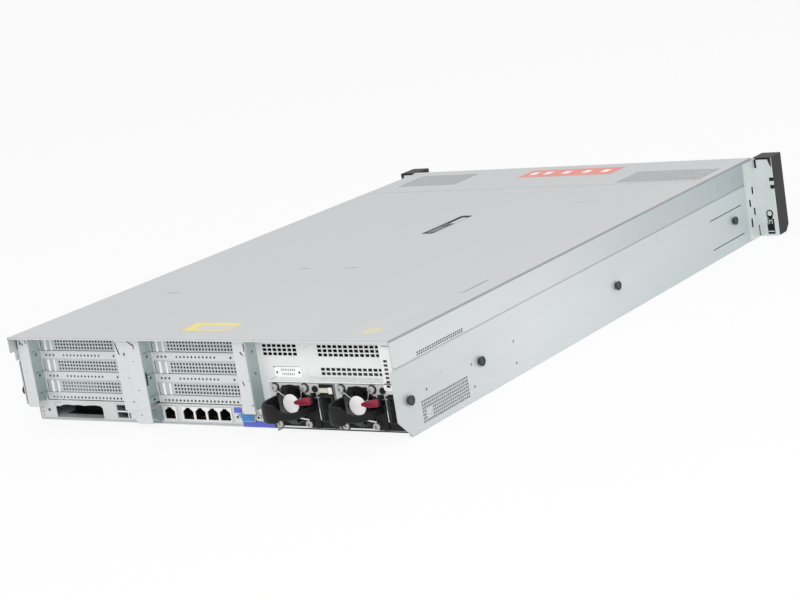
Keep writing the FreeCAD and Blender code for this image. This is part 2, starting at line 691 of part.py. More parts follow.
def make_psu(number):
    """One hot-plug supply: shell with its fan shroud, rotor, pull handle, latch and inlet."""
    left = psu_left - psu_pitch * (number - 1)
    name = f"psu_{number}"
    face = flange_face
    up = (psu_floor, psu_floor + psu_height)
    middle = psu_floor + psu_height / 2
    hub = left - psu_fan_across

    shell = block(name + "_box", (left - psu_width, left), (face - psu_length, face), up)
    hollow = block(name + "_hollow", (left - psu_width + psu_shell, left - psu_shell),
                   (face - psu_length + psu_shell, face - psu_shell), (up[0] + psu_shell, up[1] - psu_shell))
    shroud = block(name + "_shroud", (hub - 20.0, hub + 20.0), (face - 29.0, face - psu_shell),
                   (middle - 19.2, middle + 19.2))
    edge = block(name + "_edge_connector", (left - 55.0, left - 14.0),
                 (face - psu_length - 15.0, face - psu_length), (middle - 4.0, middle - 2.4))
    arm_up = (psu_floor + 22.4, psu_floor + 30.6)
    pivot = (left - 46.9, face - 12.0)
    lug_heights = ((arm_up[0] - 2.6, arm_up[0] - 0.3), (arm_up[1] + 0.3, arm_up[1] + 2.6))
    lugs = [block(f"{name}_lug_{i}", (pivot[0] - 3.0, pivot[0] + 3.0), (pivot[1] - 3.0, face - psu_shell),
                  lug_up) for i, lug_up in enumerate(lug_heights)]
    lug_bore = rod(name + "_lug_bore", "Z", (*pivot, arm_up[0] - 3.0), 1.55, 14.2)
    bore = rod(name + "_bore", "Y", (hub, face - 40.0, middle), psu_fan_radius, 45.0)
    inlet_x = (left - 68.0, left - 50.6)
    inlet_z = (psu_floor + 4.4, psu_floor + 30.4)
    inlet_hole = block(name + "_inlet_hole", inlet_x, (face - 5.0, face + 1.0), inlet_z)
    latch_hole = block(name + "_latch_hole", (left - 49.6, left - 43.0), (face - 5.0, face + 1.0),
                       (psu_floor + 21.4, psu_floor + 31.6))
    walls = cut(name + "_walls", shell, [hollow])
    full = fuse(name + "_full", [walls, shroud, edge] + lugs)
    opened = cut(name + "_opened", full, [bore, inlet_hole, latch_hole, lug_bore])
    struts = [rod(name + "_motor_boss", "Y", (hub, face - 29.0, middle), 8.0, 3.0),
              rod(name + "_shaft", "Y", (hub, face - 26.0, middle), 1.5, 18.0)]
    for turn in range(3):
        strut = block(f"{name}_strut_{turn}", (0, 19.0), (0, 3.0), (-1.2, 1.2))
        place(strut, hub, face - 29.0, middle, Rotation(Y_AXIS, 90 + 120 * turn))
        struts.append(strut)
    case = fuse(name + "_case", [opened] + struts)

    rotor = make_rotor(name + "_fan", (hub, middle), face - 23.2, 21.0, 9.2, 16.2, 5, (52, 34), True)
    handle = make_psu_handle(name, left, face)

    arm = block(name + "_latch_arm", (left - 48.6, left - 45.2), (pivot[1] - 2.0, face + 6.0), arm_up)
    tongue = block(name + "_latch_tongue", (left - 48.6, left - 26.0), (face + 5.0, face + 8.4), arm_up)
    pin = rod(name + "_latch_pin", "Z", (*pivot, arm_up[0] - 2.4), 1.5, arm_up[1] - arm_up[0] + 4.8)
    latch = fuse(name + "_latch", [arm, tongue, pin])

    inlet_body = block(name + "_inlet_body", (inlet_x[0] + 0.2, inlet_x[1] - 0.2),
                       (face - 24.0, face + 0.6), (inlet_z[0] + 0.2, inlet_z[1] - 0.2))
    socket = block(name + "_inlet_socket", (inlet_x[0] + 1.4, inlet_x[1] - 1.4),
                   (face - 18.0, face + 2.0), (inlet_z[0] + 1.4, inlet_z[1] - 1.4))
    hollowed = cut(name + "_inlet_shell", inlet_body, [socket])
    across = (inlet_x[0] + inlet_x[1]) / 2
    height = (inlet_z[0] + inlet_z[1]) / 2
    pins = [block(f"{name}_inlet_pin_{i}", (across + x - 1.0, across + x + 1.0),
                  (face - 18.0, face - 4.0), (height + z - 2.0, height + z + 2.0))
            for i, (x, z) in enumerate(((-2.2, 7.0), (-2.2, -7.0), (2.4, 0.0)))]
    inlet = fuse(name + "_inlet", [hollowed] + pins)
    return [case, rotor, handle, latch, inlet]


def make_psu_handle(name, left, face):
    """A moulded pull loop: plan outline padded up, then thinned between its two feet."""
    handle = body(name + "_handle")
    reach = 27.0
    outer = [(left - 2.0, face), (left - 2.0, face + reach), (left - 48.6, face + reach),
             (left - 48.6, face), (left - 43.8, face), (left - 43.8, face + reach - 5.0),
             (left - 7.6, face + reach - 5.0), (left - 7.6, face)]
    pad(handle, sketch(handle, name + "_loop", "XY_Plane", psu_floor + 1.0, [outer]), 28.0)
    fillet(handle, name + "_outer_bends", 9.0, lambda edge: runs(edge, Z_AXIS)
           and near(edge.CenterOfMass.y, face + reach))
    fillet(handle, name + "_inner_bends", 4.6, lambda edge: runs(edge, Z_AXIS)
           and near(edge.CenterOfMass.y, face + reach - 5.0))
    low = psu_floor + 0.5
    above = [(left - 1.0, psu_floor + 24.0), (left - 6.0, psu_floor + 24.0),
             (left - 17.0, psu_floor + 15.6), (left - 36.0, psu_floor + 15.6),
             (left - 42.0, psu_floor + 21.6), (left - 50.0, psu_floor + 21.6),
             (left - 50.0, psu_floor + 30.0), (left - 1.0, psu_floor + 30.0)]
    below = [(left - 1.0, psu_floor + 4.0), (left - 8.0, psu_floor + 4.0),
             (left - 17.0, psu_floor + 7.4), (left - 36.0, psu_floor + 7.4),
             (left - 43.0, psu_floor + 3.5), (left - 50.0, psu_floor + 3.5), (left - 50.0, low),
             (left - 1.0, low)]
    pocket(handle, sketch(handle, name + "_waist", "XZ_Plane", -(face + reach + 1.0), [above, below]),
           reach + 2.0, reverse=True)
    return handle


# ---------------------------------------------------------------- fans

def make_rotor(name, centre, start, length, hub_radius, tip_radius, blades, pitches, boss_behind):
    """A hub bored for its shaft, with blades lofted from the pitch at the root to that at the tip."""
    x, z = centre
    bore_start = start - 1.0 if boss_behind else start + 2.0
    hub = cut(name + "_hub", rod(name + "_drum", "Y", (x, start, z), hub_radius, length),
              [rod(name + "_shaft_bore", "Y", (x, bore_start, z), 1.55, length - 1.0)])
    root = hub_radius - 0.8
    reach = number_of(length) * 0.46
    stations = ((root, math.radians(pitches[0])), (tip_radius, math.radians(pitches[1])))
    doc.recompute()
    solids = [hub.Shape.copy()]
    wires = []
    thickness = 0.075 * length
    for radius, pitch in stations:
        along = Vector(math.cos(pitch), math.sin(pitch), 0) * reach
        across = Vector(-math.sin(pitch), math.cos(pitch), 0) * (thickness / 2)
        corners = [along + across, -along + across, -along - across, along - across]
        lifted = [Vector(corner.x, corner.y, radius) for corner in corners]
        wires.append(Part.makePolygon(lifted + lifted[:1]))
    blade = Part.makeLoft(wires, True, True)
    middle = Vector(number_of(x), number_of(start) + length / 2, number_of(z))
    for turn in range(blades):
        solids.append(blade.transformed(
            Placement(middle, Rotation(Y_AXIS, 360.0 / blades * turn)).toMatrix()))
    rotor = doc.addObject("Part::Feature", name)
    rotor.Shape = solids[0].multiFuse(solids[1:]).removeSplitter()
    hub.Visibility = False
    return rotor


def fan_centre(number):
    """X of a chassis fan's axis, counted from the left as seen from the rear."""
    return fan_pitch * (2.5 - number)


def make_fan_frames():
    """The square housings of the chassis fans, each with a motor boss on four struts."""
    frames = []
    y_front = rear(-fan_front_inset)
    middle = fan_floor + fan_size / 2
    for number in range(1, 5):
        x = fan_centre(number)
        name = f"fan_frame_{number}"
        square = block(name + "_square", (x - fan_size / 2, x + fan_size / 2),
                       (y_front, y_front + fan_depth), (fan_floor, fan_floor + fan_size))
        bore = rod(name + "_bore", "Y", (x, y_front - 1.0, middle), fan_bore, fan_depth + 2.0)
        ring = cut(name + "_ring", square, [bore])
        boss = rod(name + "_boss", "Y", (x, y_front + fan_depth - 5.0, middle), 16.0, 5.0)
        shaft = rod(name + "_shaft", "Y", (x, y_front + 8.0, middle), 1.5, fan_depth - 10.0)
        bars = [block(f"{name}_bar_{i}", (x - wide, x + wide),
                      (y_front + fan_depth - 4.0, y_front + fan_depth), (middle - tall, middle + tall))
                for i, (wide, tall) in enumerate(((fan_bore + 0.6, 1.5), (1.5, fan_bore + 0.6)))]
        frames.append(fuse(name, [ring, boss, shaft] + bars))
    return group("fan_frames", frames)


def make_fan_cage():
    """The frame across the chassis that the fans plug down into."""
    y_front = rear(-fan_front_inset)
    across = (-fan_pitch * 2 - 0.6, fan_pitch * 2 + 0.6)
    up = (tray_gauge, 84.2)
    walls = [block("fan_wall_front", across, (y_front - 2.4, y_front - 1.2), up),
             block("fan_wall_rear", across, (y_front + fan_depth + 1.2, y_front + fan_depth + 2.4), up),
             block("fan_cage_floor", across, (y_front - 1.2, y_front + fan_depth + 1.2),
                   (tray_gauge, fan_floor))]
    for number in range(5):
        x = fan_pitch * (number - 2)
        walls.append(block(f"fan_divider_{number}", (x - 0.6, x + 0.6),
                           (y_front - 1.2, y_front + fan_depth + 1.2), up))
    middle = fan_floor + fan_size / 2
    windows = []
    for number in range(1, 5):
        x = fan_centre(number)
        windows.append(block(f"fan_window_{number}", (x - 37.0, x + 37.0),
                             (y_front - 3.0, y_front + fan_depth + 3.0), (middle - 37.0, middle + 37.0)))
    return cut("fan_cage", fuse("fan_walls", walls), windows)


# ---------------------------------------------------------------- board and what stands on it

CPU_ACROSS = 107.0
CPU_BACK = 342.0
MODULE_OFFSETS = (52.0, 60.0, 68.0)


def module_places():
    """X of every memory module."""
    return [cpu * CPU_ACROSS + side * offset
            for cpu in (-1, 1) for side in (-1, 1) for offset in MODULE_OFFSETS]


def make_system_board():
    """The main board on its standoffs, with processor, memory, riser and supply sockets."""
    board = body("system_board")
    outline = [(214.0, rear(-board_rear_inset)), (psu_left + 22.0, rear(-board_rear_inset)),
               (psu_left + 22.0, rear(-218.0)), (-214.0, rear(-218.0)), (-214.0, rear(-425.0)),
               (214.0, rear(-425.0))]
    pad(board, sketch(board, "board_outline", "XY_Plane", board_floor, [outline]), board_thickness)
    posts = [(x, back) for x in (-200.0, 0.0, 200.0) for back in (240.0, 415.0)]
    posts += [(200.0, 70.0), (-40.0, 70.0)]
    feet = [rectangle((x - 3.0, x + 3.0), (rear(-back - 3.0), rear(-back + 3.0))) for x, back in posts]
    pad(board, sketch(board, "standoffs", "XY_Plane", tray_gauge, feet), board_floor - tray_gauge)
    processors = [rectangle((x - 38.0, x + 38.0), (rear(-CPU_BACK - 30.0), rear(-CPU_BACK + 30.0)))
                  for x in (-CPU_ACROSS, CPU_ACROSS)]
    pad(board, sketch(board, "processors", "XY_Plane", board_top, processors), 8.8)
    sockets = [rectangle((x - 3.2, x + 3.2), (rear(-CPU_BACK - 70.0), rear(-CPU_BACK + 70.0)))
               for x in module_places()]
    pad(board, sketch(board, "memory_sockets", "XY_Plane", board_top, sockets), 6.0)
    risers = [rectangle((riser_left - riser_pitch * i - 7.0, riser_left - riser_pitch * i - 0.6),
                        (rear(-200.0), rear(-75.0))) for i in (0, 1)]
    pad(board, sketch(board, "riser_sockets", "XY_Plane", board_top, risers), 20.0 - board_top)
    supplies = [rectangle((psu_left - psu_pitch * i - 56.0, psu_left - psu_pitch * i - 13.0),
                          (rear(-228.0), rear(-219.0))) for i in (0, 1)]
    pad(board, sketch(board, "supply_sockets", "XY_Plane", board_top, supplies), 24.0)
    slots = [rectangle((psu_left - psu_pitch * i - 55.5, psu_left - psu_pitch * i - 13.5),
                       (psu_floor + psu_height / 2 - 4.5, psu_floor + psu_height / 2 - 1.9))
             for i in (0, 1)]
    pocket(board, sketch(board, "supply_slots", "XZ_Plane", -rear(-226.0), slots), 10.0, reverse=True)
    chips = [rectangle((20.0, 50.0), (rear(-170.0), rear(-140.0))),
             rectangle((100.0, 120.0), (rear(-110.0), rear(-90.0)))]
    pad(board, sketch(board, "chips", "XY_Plane", board_top, chips), 5.0)
    return board


def make_memory_modules():
    foot = board_top + 6.0
    return group("memory_modules", [
        block(f"memory_module_{i}", (x - 0.7, x + 0.7),
              (rear(-CPU_BACK - 66.6), rear(-CPU_BACK + 66.6)), (foot, foot + 30.0))
        for i, x in enumerate(module_places())])


def make_heatsinks():
    """Finned coolers, one on each processor."""
    coolers = []
    for number, x in enumerate((-CPU_ACROSS, CPU_ACROSS), 1):
        cooler = body(f"heatsink_{number}")
        base = rectangle((x - 45.0, x + 45.0), (board_top + 8.8, board_top + 12.8))
        y_rear = rear(-CPU_BACK + 52.0)
        pad(cooler, sketch(cooler, f"heatsink_{number}_base", "XZ_Plane", -y_rear, [base]), 104.0)
        fin = rectangle((x - 45.0, x - 44.2), (board_top + 12.8, 73.0))
        first = pad(cooler, sketch(cooler, f"heatsink_{number}_fin", "XZ_Plane", -y_rear, [fin]), 104.0)
        pattern(cooler, first, "H_Axis", 89.2, 15)
        coolers.append(cooler)
    return group("cpu_heatsinks", coolers)


def make_air_baffle():
    """A moulded duct that leads the fans' air over memory and processors."""
    duct = body("air_baffle")
    outline = [(-202.0, board_top), (-202.0, 66.0), (-192.0, 75.8), (192.0, 75.8), (202.0, 66.0),
               (202.0, board_top), (200.4, board_top), (200.4, 65.4), (191.4, 74.2), (-191.4, 74.2),
               (-200.4, 65.4), (-200.4, board_top)]
    pad(duct, sketch(duct, "duct_profile", "XZ_Plane", -rear(-262.0), [outline]), 160.0)
    return duct


# ---------------------------------------------------------------- drive bays

def bay_corner(column, row):
    """The low X and Z corner of a drive bay's opening."""
    x = bay_pitch_across * (column - 2) + (bay_pitch_across - bay_width) / 2
    z = tray_gauge + bay_pitch_up * row + (bay_pitch_up - bay_height) / 2
    return x, z


def make_drive_cage():
    """Twelve bays for large drives, four across and three high."""
    cage = body("drive_cage")
    outside = rectangle((bay_pitch_across * -2, bay_pitch_across * 2),
                        (tray_gauge, tray_gauge + bay_pitch_up * 3))
    outlines = [outside]
    for column in range(4):
        for row in range(3):
            x, z = bay_corner(column, row)
            outlines.append(rectangle((x, x + bay_width), (z, z + bay_height)))
    pad(cage, sketch(cage, "cage_profile", "XZ_Plane", -front(bay_depth), outlines), bay_depth)
    return cage


def make_backplane():
    """The board behind the bays, with air slots above and below each row of connectors."""
    plane = body("drive_backplane")
    outline = rectangle((-212.0, 212.0), (3.0, 84.0))
    slots = [rectangle((x - 40.0, x + 40.0), (z - 3.0, z + 3.0))
             for x in (-162.0, -54.0, 54.0, 162.0) for z in (22.0, 50.0, 76.0)]
    pad(plane, sketch(plane, "backplane_outline", "XZ_Plane", -front(bay_depth + 2.4),
                      [outline] + slots), 2.4)
    return plane


CARRIER_BAYS = ((0, 2), (1, 2))
FACE_BACK = 12.0
FACE_PROUD = 2.0


def make_drive_blanks():
    """Plastic blanks in the empty bays, each with a finger pull."""
    blanks = []
    for column in range(4):
        for row in range(3):
            if (column, row) in CARRIER_BAYS:
                continue
            x, z = bay_corner(column, row)
            name = f"blank_{column}_{row}"
            face = block(name + "_face", (x + 0.3, x + bay_width - 0.3),
                         (front(-FACE_PROUD), front(FACE_BACK)), (z, z + bay_height - 0.3))
            pull = block(name + "_pull", (x + 36.0, x + 70.0), (front(-FACE_PROUD - 1.0), front(1.0)),
                         (z + 7.0, z + 20.0))
            blanks.append(cut(name, face, [pull]))
    return group("drive_blanks", blanks)


def make_carrier(number):
    """A hot-plug carrier: face with lugs, two side rails, ejector lever and the drive."""
    x, z = bay_corner(*CARRIER_BAYS[number - 1])
    name = f"drive_carrier_{number}"
    low, high = z + 0.3, z + bay_height - 0.3
    middle = z + bay_height / 2
    pivot_x = x + 12.0
    pivot_y = front(-6.0)
    drive_x = x + (bay_width - drive_width) / 2
    solids = [
        block(name + "_face", (x + 0.3, x + bay_width - 0.3), (front(-FACE_PROUD), front(FACE_BACK)),
              (low, high)),
        block(name + "_rail_a", (x + 0.3, drive_x), (front(FACE_BACK), front(160.0)), (low, high)),
        block(name + "_rail_b", (drive_x + drive_width, x + bay_width - 0.3),
              (front(FACE_BACK), front(160.0)), (low, high)),
        block(name + "_lug_a", (pivot_x - 4.0, pivot_x + 4.0), (front(-9.0), front(-FACE_PROUD)),
              (middle + 7.2, middle + 10.2)),
        block(name + "_lug_b", (pivot_x - 4.0, pivot_x + 4.0), (front(-9.0), front(-FACE_PROUD)),
              (middle - 10.2, middle - 7.2))]
    bore = rod(name + "_bore", "Z", (pivot_x, pivot_y, middle - 11.0), 1.55, 22.0)
    window = block(name + "_grille", (x + 60.0, x + 96.0), (front(-FACE_PROUD - 1.0), front(FACE_BACK + 1.0)),
                   (low + 3.0, high - 3.0))
    carrier = cut(name, fuse(name + "_solid", solids), [bore, window])

    arm = block(name + "_arm", (pivot_x - 2.4, pivot_x + 82.0), (front(-8.0), front(-4.4)),
                (middle - 6.8, middle + 6.8))
    pin = rod(name + "_pin", "Z", (pivot_x, pivot_y, middle - 10.2), 1.5, 20.4)
    slot = block(name + "_arm_slot", (pivot_x + 12.0, pivot_x + 60.0), (front(-9.0), front(-4.0)),
                 (middle - 3.6, middle + 3.6))
    lever = cut(f"carrier_lever_{number}", fuse(name + "_lever_solid", [arm, pin]), [slot])

    drive_z = z + (bay_height - drive_height) / 2
    drive = block(f"hard_drive_{number}", (drive_x, drive_x + drive_width),
                  (front(FACE_BACK + 0.5), front(FACE_BACK + 0.5) + drive_length),
                  (drive_z, drive_z + drive_height))
    return [carrier, lever, drive]


# ---------------------------------------------------------------- rack ears

EAR_UP = (0.6, 86.9)
LEVER_UP = (26.0, 70.0)


def side_pair(side, near_x, far_x):
    """An X pair that runs outward on the left (+1) or the right (-1) of the chassis."""
    return (near_x, far_x) if side > 0 else (-far_x, -near_x)


def make_ear(label, side):
    """One rack ear: riveted steel angle, moulded cover and its quick-release lever."""
    rack_edge = rack_width / 2
    hole_x = rack_hole_spacing / 2 * side
    angle = fuse(f"ear_{label}_angle", [
        block(f"ear_{label}_leg", side_pair(side, half_width, half_width + ear_gauge),
              (front(-ear_gauge), front(26.0)), (2.0, 85.0)),
        block(f"ear_{label}_flange", side_pair(side, half_width, rack_edge - 0.2),
              (front(-ear_gauge), front(0)), EAR_UP)])
    slots = [rod(f"ear_{label}_rack_hole", "Y", (hole_x, front(-ear_gauge - 1.0), rack_hole_height),
                 3.5, ear_gauge + 2.0),
             block(f"ear_{label}_hook_slot", side_pair(side, half_width + 10.4, half_width + 17.6),
                   (front(-ear_gauge - 1.0), front(1.0)), (3.0, 16.6))]
    for i, (back, low, high) in enumerate(((11.0, 50.0, 57.0), (20.0, 38.0, 45.0), (11.0, 27.0, 34.0),
                                           (20.0, 15.6, 24.0))):
        slots.append(block(f"ear_{label}_leg_slot_{i}",
                           side_pair(side, half_width - 0.5, half_width + ear_gauge + 1.0),
                           (front(back - 1.4), front(back + 1.4)), (low, high)))
    bracket = cut(f"ear_bracket_{label}", angle, slots)

    cover = body(f"ear_cover_{label}")
    y_front = front(-ear_gauge - ear_depth)
    profile = [(front(-ear_gauge), EAR_UP[0]), (y_front + 9.0, EAR_UP[0]), (y_front, EAR_UP[0] + 8.0),
               (y_front, EAR_UP[1]), (front(-ear_gauge), EAR_UP[1])]
    x_pair = side_pair(side, half_width + 0.4, rack_edge)
    pad(cover, sketch(cover, f"ear_{label}_profile", "YZ_Plane", x_pair[0], [profile]),
        x_pair[1] - x_pair[0])
    fillet(cover, f"ear_{label}_edge", 1.6, lambda edge: runs(edge, Z_AXIS)
           and near(abs(edge.CenterOfMass.x), rack_edge) and near(edge.CenterOfMass.y, y_front))
    nest = rectangle(side_pair(side, half_width + 3.0, rack_edge - 2.0), LEVER_UP)
    pocket(cover, sketch(cover, f"ear_{label}_nest", "XZ_Plane", -(y_front - 1.0), [nest]), 9.0)
    screw = [(hole_x, rack_hole_height, 6.0)]
    pocket(cover, sketch(cover, f"ear_{label}_screw_well", "XZ_Plane", -(y_front - 1.0), circles=screw))
    if side > 0:
        button = [(hole_x, 79.0, 4.4)]
        pocket(cover, sketch(cover, "button_well", "XZ_Plane", -(y_front - 1.0), circles=button), 7.0)
        lever_bores = [(half_width + 7.0, y_front + 4.0, 1.55)]
    else:
        lever_bores = [(-(half_width + 7.0), y_front + 4.0, 1.55)]
    pocket(cover, sketch(cover, f"ear_{label}_lever_bore", "XY_Plane", LEVER_UP[0] - 4.0,
                         circles=lever_bores), LEVER_UP[1] - LEVER_UP[0] + 8.0, reverse=True)

    pivot_x = (half_width + 7.0) * side
    inner, outer = half_width + 7.0, rack_edge - 2.6
    plate = block(f"ear_{label}_lever_plate", side_pair(side, inner - 2.2, outer),
                  (y_front + 1.0, y_front + 6.0), (LEVER_UP[0] + 0.4, LEVER_UP[1] - 0.4))
    lip = block(f"ear_{label}_lever_lip", side_pair(side, outer - 3.0, outer),
                (y_front - 2.6, y_front + 1.0), (38.0, 46.0))
    pin = rod(f"ear_{label}_lever_pin", "Z", (pivot_x, y_front + 4.0, LEVER_UP[0] - 3.4), 1.5,
              LEVER_UP[1] - LEVER_UP[0] + 6.8)
    lever = fuse(f"ear_latch_{label}", [plate, lip, pin])
    return [bracket, cover, lever]


def make_power_button():
    y_front = front(-ear_gauge - ear_depth)
    return rod("power_button", "Y", (rack_hole_spacing / 2, y_front - 1.4, 79.0), 4.0, 5.4)


# ---------------------------------------------------------------- build, check, export

nodes = [make_chassis_tray(), make_rail_studs(), make_front_top_cover(), make_access_panel()]
nodes += make_cover_latch()
nodes += [make_io_panel(), make_usb_stack(), make_jacks("management_jack", MANAGEMENT_CENTRE, 1),
          make_jacks("lan_jack_block", LAN_CENTRE, 4), make_video_connector(), make_vent_panel(),
          make_serial_blank()]
nodes += [make_riser_cage(1), make_riser_cage(2), make_riser_boards()]
nodes += [make_slot_cover(number) for number in range(1, 7)]
nodes += [make_psu_cage()] + make_psu(1) + make_psu(2)
nodes += [make_fan_cage(), make_fan_frames()]
for number in range(1, 5):
    nodes.append(make_rotor(f"fan_rotor_{number}", (fan_centre(number), fan_floor + fan_size / 2),
                            rear(-fan_front_inset + 4.0), 28.6, 16.5, 34.6, 7, (40, 40), False))
nodes += [make_system_board(), make_memory_modules(), make_heatsinks(), make_air_baffle()]
nodes += [make_drive_cage(), make_backplane(), make_drive_blanks()]
nodes += make_carrier(1) + make_carrier(2)
nodes += make_ear("left", 1) + make_ear("right", -1) + [make_power_button()]

doc.recompute()
faults = [thing.Name for thing in doc.Objects
          if "Invalid" in thing.State or "Error" in thing.State]
faults += [node.Name for node in nodes if node.Shape.isNull() or not node.Shape.isValid()]
if faults:
    raise ValueError("failed: " + ", ".join(faults))

os.makedirs("parts", exist_ok=True)
for node in nodes:
    node.Label = node.Name
    node.Shape.exportStep(os.path.join("parts", node.Name + ".step"))
print(len(nodes), "nodes")
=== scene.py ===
import json
import math

import bmesh
import bpy
from mathutils import Matrix, Vector
from mathutils.geometry import delaunay_2d_cdt


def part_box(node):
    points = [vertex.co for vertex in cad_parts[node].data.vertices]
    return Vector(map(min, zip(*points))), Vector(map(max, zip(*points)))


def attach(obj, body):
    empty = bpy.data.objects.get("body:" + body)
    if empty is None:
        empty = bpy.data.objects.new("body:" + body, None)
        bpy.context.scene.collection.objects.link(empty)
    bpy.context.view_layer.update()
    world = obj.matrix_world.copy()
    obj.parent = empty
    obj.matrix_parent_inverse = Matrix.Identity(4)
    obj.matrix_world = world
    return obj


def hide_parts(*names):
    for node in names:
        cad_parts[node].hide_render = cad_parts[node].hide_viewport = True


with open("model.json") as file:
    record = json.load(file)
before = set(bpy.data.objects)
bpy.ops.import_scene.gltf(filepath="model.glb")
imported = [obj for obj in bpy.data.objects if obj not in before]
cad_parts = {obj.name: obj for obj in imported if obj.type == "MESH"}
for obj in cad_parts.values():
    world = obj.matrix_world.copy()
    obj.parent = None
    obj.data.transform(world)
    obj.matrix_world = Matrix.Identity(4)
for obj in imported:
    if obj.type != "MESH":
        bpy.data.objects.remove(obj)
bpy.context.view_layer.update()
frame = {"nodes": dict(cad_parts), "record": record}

# A 2U rack server.  Working units are millimetres until a mesh is made.  +Y is the rear,
# and rear(x) counts from the rear edge of the top cover, as the sheet metal is laid out.

nodes = frame["nodes"]
MM = 0.001


def corners(node):
    """Lowest and highest corner of a CAD node, in millimetres."""
    low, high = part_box(node)
    return low / MM, high / MM


REAR_EDGE = corners("access_panel")[1].y
FRONT_EDGE = corners("front_top_cover")[0].y
SEAM = corners("access_panel")[0].y
HALF = corners("front_top_cover")[1].x
TOP = corners("access_panel")[1].z
SKIRT = corners("access_panel")[0].z
FLANGE = corners("riser_cage_1")[1].y
TRAY_HIGH = corners("chassis_tray")[1]


def rear(offset):
    return REAR_EDGE + offset


# ---------------------------------------------------------------- materials

def principled(name, colour, metallic=0.0, rough=0.5):
    material = bpy.data.materials.new(name)
    material.use_nodes = True
    shader = material.node_tree.nodes["Principled BSDF"]
    shader.inputs["Base Color"].default_value = (*colour, 1)
    shader.inputs["Metallic"].default_value = metallic
    shader.inputs["Roughness"].default_value = rough
    return material, material.node_tree, shader


def node(tree, kind, **settings):
    made = tree.nodes.new(kind)
    for name, value in settings.items():
        if name in made.inputs:
            made.inputs[name].default_value = value
        else:
            setattr(made, name, value)
    return made


def noise(tree, scale, detail=3.0, stretch=(1, 1, 1)):
    """Noise in object coordinates, stretched for rolled or brushed surfaces."""
    where = node(tree, "ShaderNodeTexCoord")
    mapping = node(tree, "ShaderNodeMapping")
    mapping.inputs["Scale"].default_value = stretch
    made = node(tree, "ShaderNodeTexNoise", Scale=scale, Detail=detail)
    tree.links.new(where.outputs["Object"], mapping.inputs["Vector"])
    tree.links.new(mapping.outputs["Vector"], made.inputs["Vector"])
    return made


def vary(tree, shader, source, colour, amount, rough, rough_amount):
    """Lets a noise shift the colour and the roughness a little either way."""
    ramp = node(tree, "ShaderNodeValToRGB")
    ramp.color_ramp.elements[0].position = 0.3
    ramp.color_ramp.elements[1].position = 0.7
    ramp.color_ramp.elements[0].color = (*[max(0, c * (1 - amount)) for c in colour], 1)
    ramp.color_ramp.elements[1].color = (*[min(1, c * (1 + amount)) for c in colour], 1)
    spread = node(tree, "ShaderNodeMapRange")
    spread.inputs["To Min"].default_value = rough - rough_amount
    spread.inputs["To Max"].default_value = rough + rough_amount
    tree.links.new(source.outputs["Fac"], ramp.inputs["Fac"])
    tree.links.new(source.outputs["Fac"], spread.inputs["Value"])
    tree.links.new(ramp.outputs["Color"], shader.inputs["Base Color"])
    tree.links.new(spread.outputs["Result"], shader.inputs["Roughness"])


def bumped(tree, shader, source, strength, edge=0.0):
    """Bump from a noise, over the soft edge that a bevel node gives."""
    bump = node(tree, "ShaderNodeBump", Strength=strength, Distance=0.0004)
    tree.links.new(source.outputs["Fac"], bump.inputs["Height"])
    if edge:
        bevel = node(tree, "ShaderNodeBevel", samples=4, Radius=edge * MM)
        tree.links.new(bevel.outputs["Normal"], bump.inputs["Normal"])
    tree.links.new(bump.outputs["Normal"], shader.inputs["Normal"])


def steel(name, colour, rough=0.42, metallic=0.55, amount=0.03, grain=(1, 1, 1), edge=0.35):
    material, tree, shader = principled(name, colour, metallic, rough)
    vary(tree, shader, noise(tree, 34.0, 5.0, grain), colour, amount, rough, 0.06)
    bumped(tree, shader, noise(tree, 260.0, 2.0, grain), 0.05, edge)
    return material


def light_falloff_steel(name, stops, axis="Y", span=(352.5, -352.5), metallic=0.35):
    """Sheet with painted light and shade: its tone shifts along one axis, as the light falls off in a pale
    studio. Stops are (share, colour).
    """
    rough = 0.42
    material, tree, shader = principled(name, stops[0][1], metallic, rough)
    vary(tree, shader, noise(tree, 34.0, 5.0, (1, 0.15, 1)), (0.97, 0.97, 0.97), 0.025, rough, 0.06)
    bumped(tree, shader, noise(tree, 260.0, 2.0, (1, 0.15, 1)), 0.05, 0.35)
    where = node(tree, "ShaderNodeTexCoord")
    split = node(tree, "ShaderNodeSeparateXYZ")
    reach = node(tree, "ShaderNodeMapRange")
    reach.inputs["From Min"].default_value = span[0] / 1000
    reach.inputs["From Max"].default_value = span[1] / 1000
    ramp = node(tree, "ShaderNodeValToRGB")
    marks = ramp.color_ramp.elements
    while len(marks) < len(stops):
        marks.new(0.5)
    for mark, (share, colour) in zip(marks, stops):
        mark.position = share
        mark.color = (*colour, 1)
    mix = node(tree, "ShaderNodeMixRGB", blend_type="MULTIPLY")
    mix.inputs["Fac"].default_value = 1.0
    worn = shader.inputs["Base Color"].links[0].from_socket
    tree.links.new(where.outputs["Object"], split.inputs["Vector"])
    tree.links.new(split.outputs[axis], reach.inputs["Value"])
    tree.links.new(reach.outputs["Result"], ramp.inputs["Fac"])
    tree.links.new(worn, mix.inputs["Color1"])
    tree.links.new(ramp.outputs["Color"], mix.inputs["Color2"])
    tree.links.new(mix.outputs["Color"], shader.inputs["Base Color"])
    return material


def plastic(name, colour, rough=0.5, texture=900.0, strength=0.12, edge=0.3, shine=0.5):
    material, tree, shader = principled(name, colour, 0.0, rough)
    shader.inputs["Specular IOR Level"].default_value = shine
    vary(tree, shader, noise(tree, 60.0), colour, 0.06, rough, 0.05)
    bumped(tree, shader, noise(tree, texture, 2.0), strength, edge)
    return material


def circuit_board(name, colour):
    material, tree, shader = principled(name, colour, 0.0, 0.35)
    vary(tree, shader, noise(tree, 140.0, 6.0, (1, 3, 1)), colour, 0.35, 0.35, 0.08)
    return material


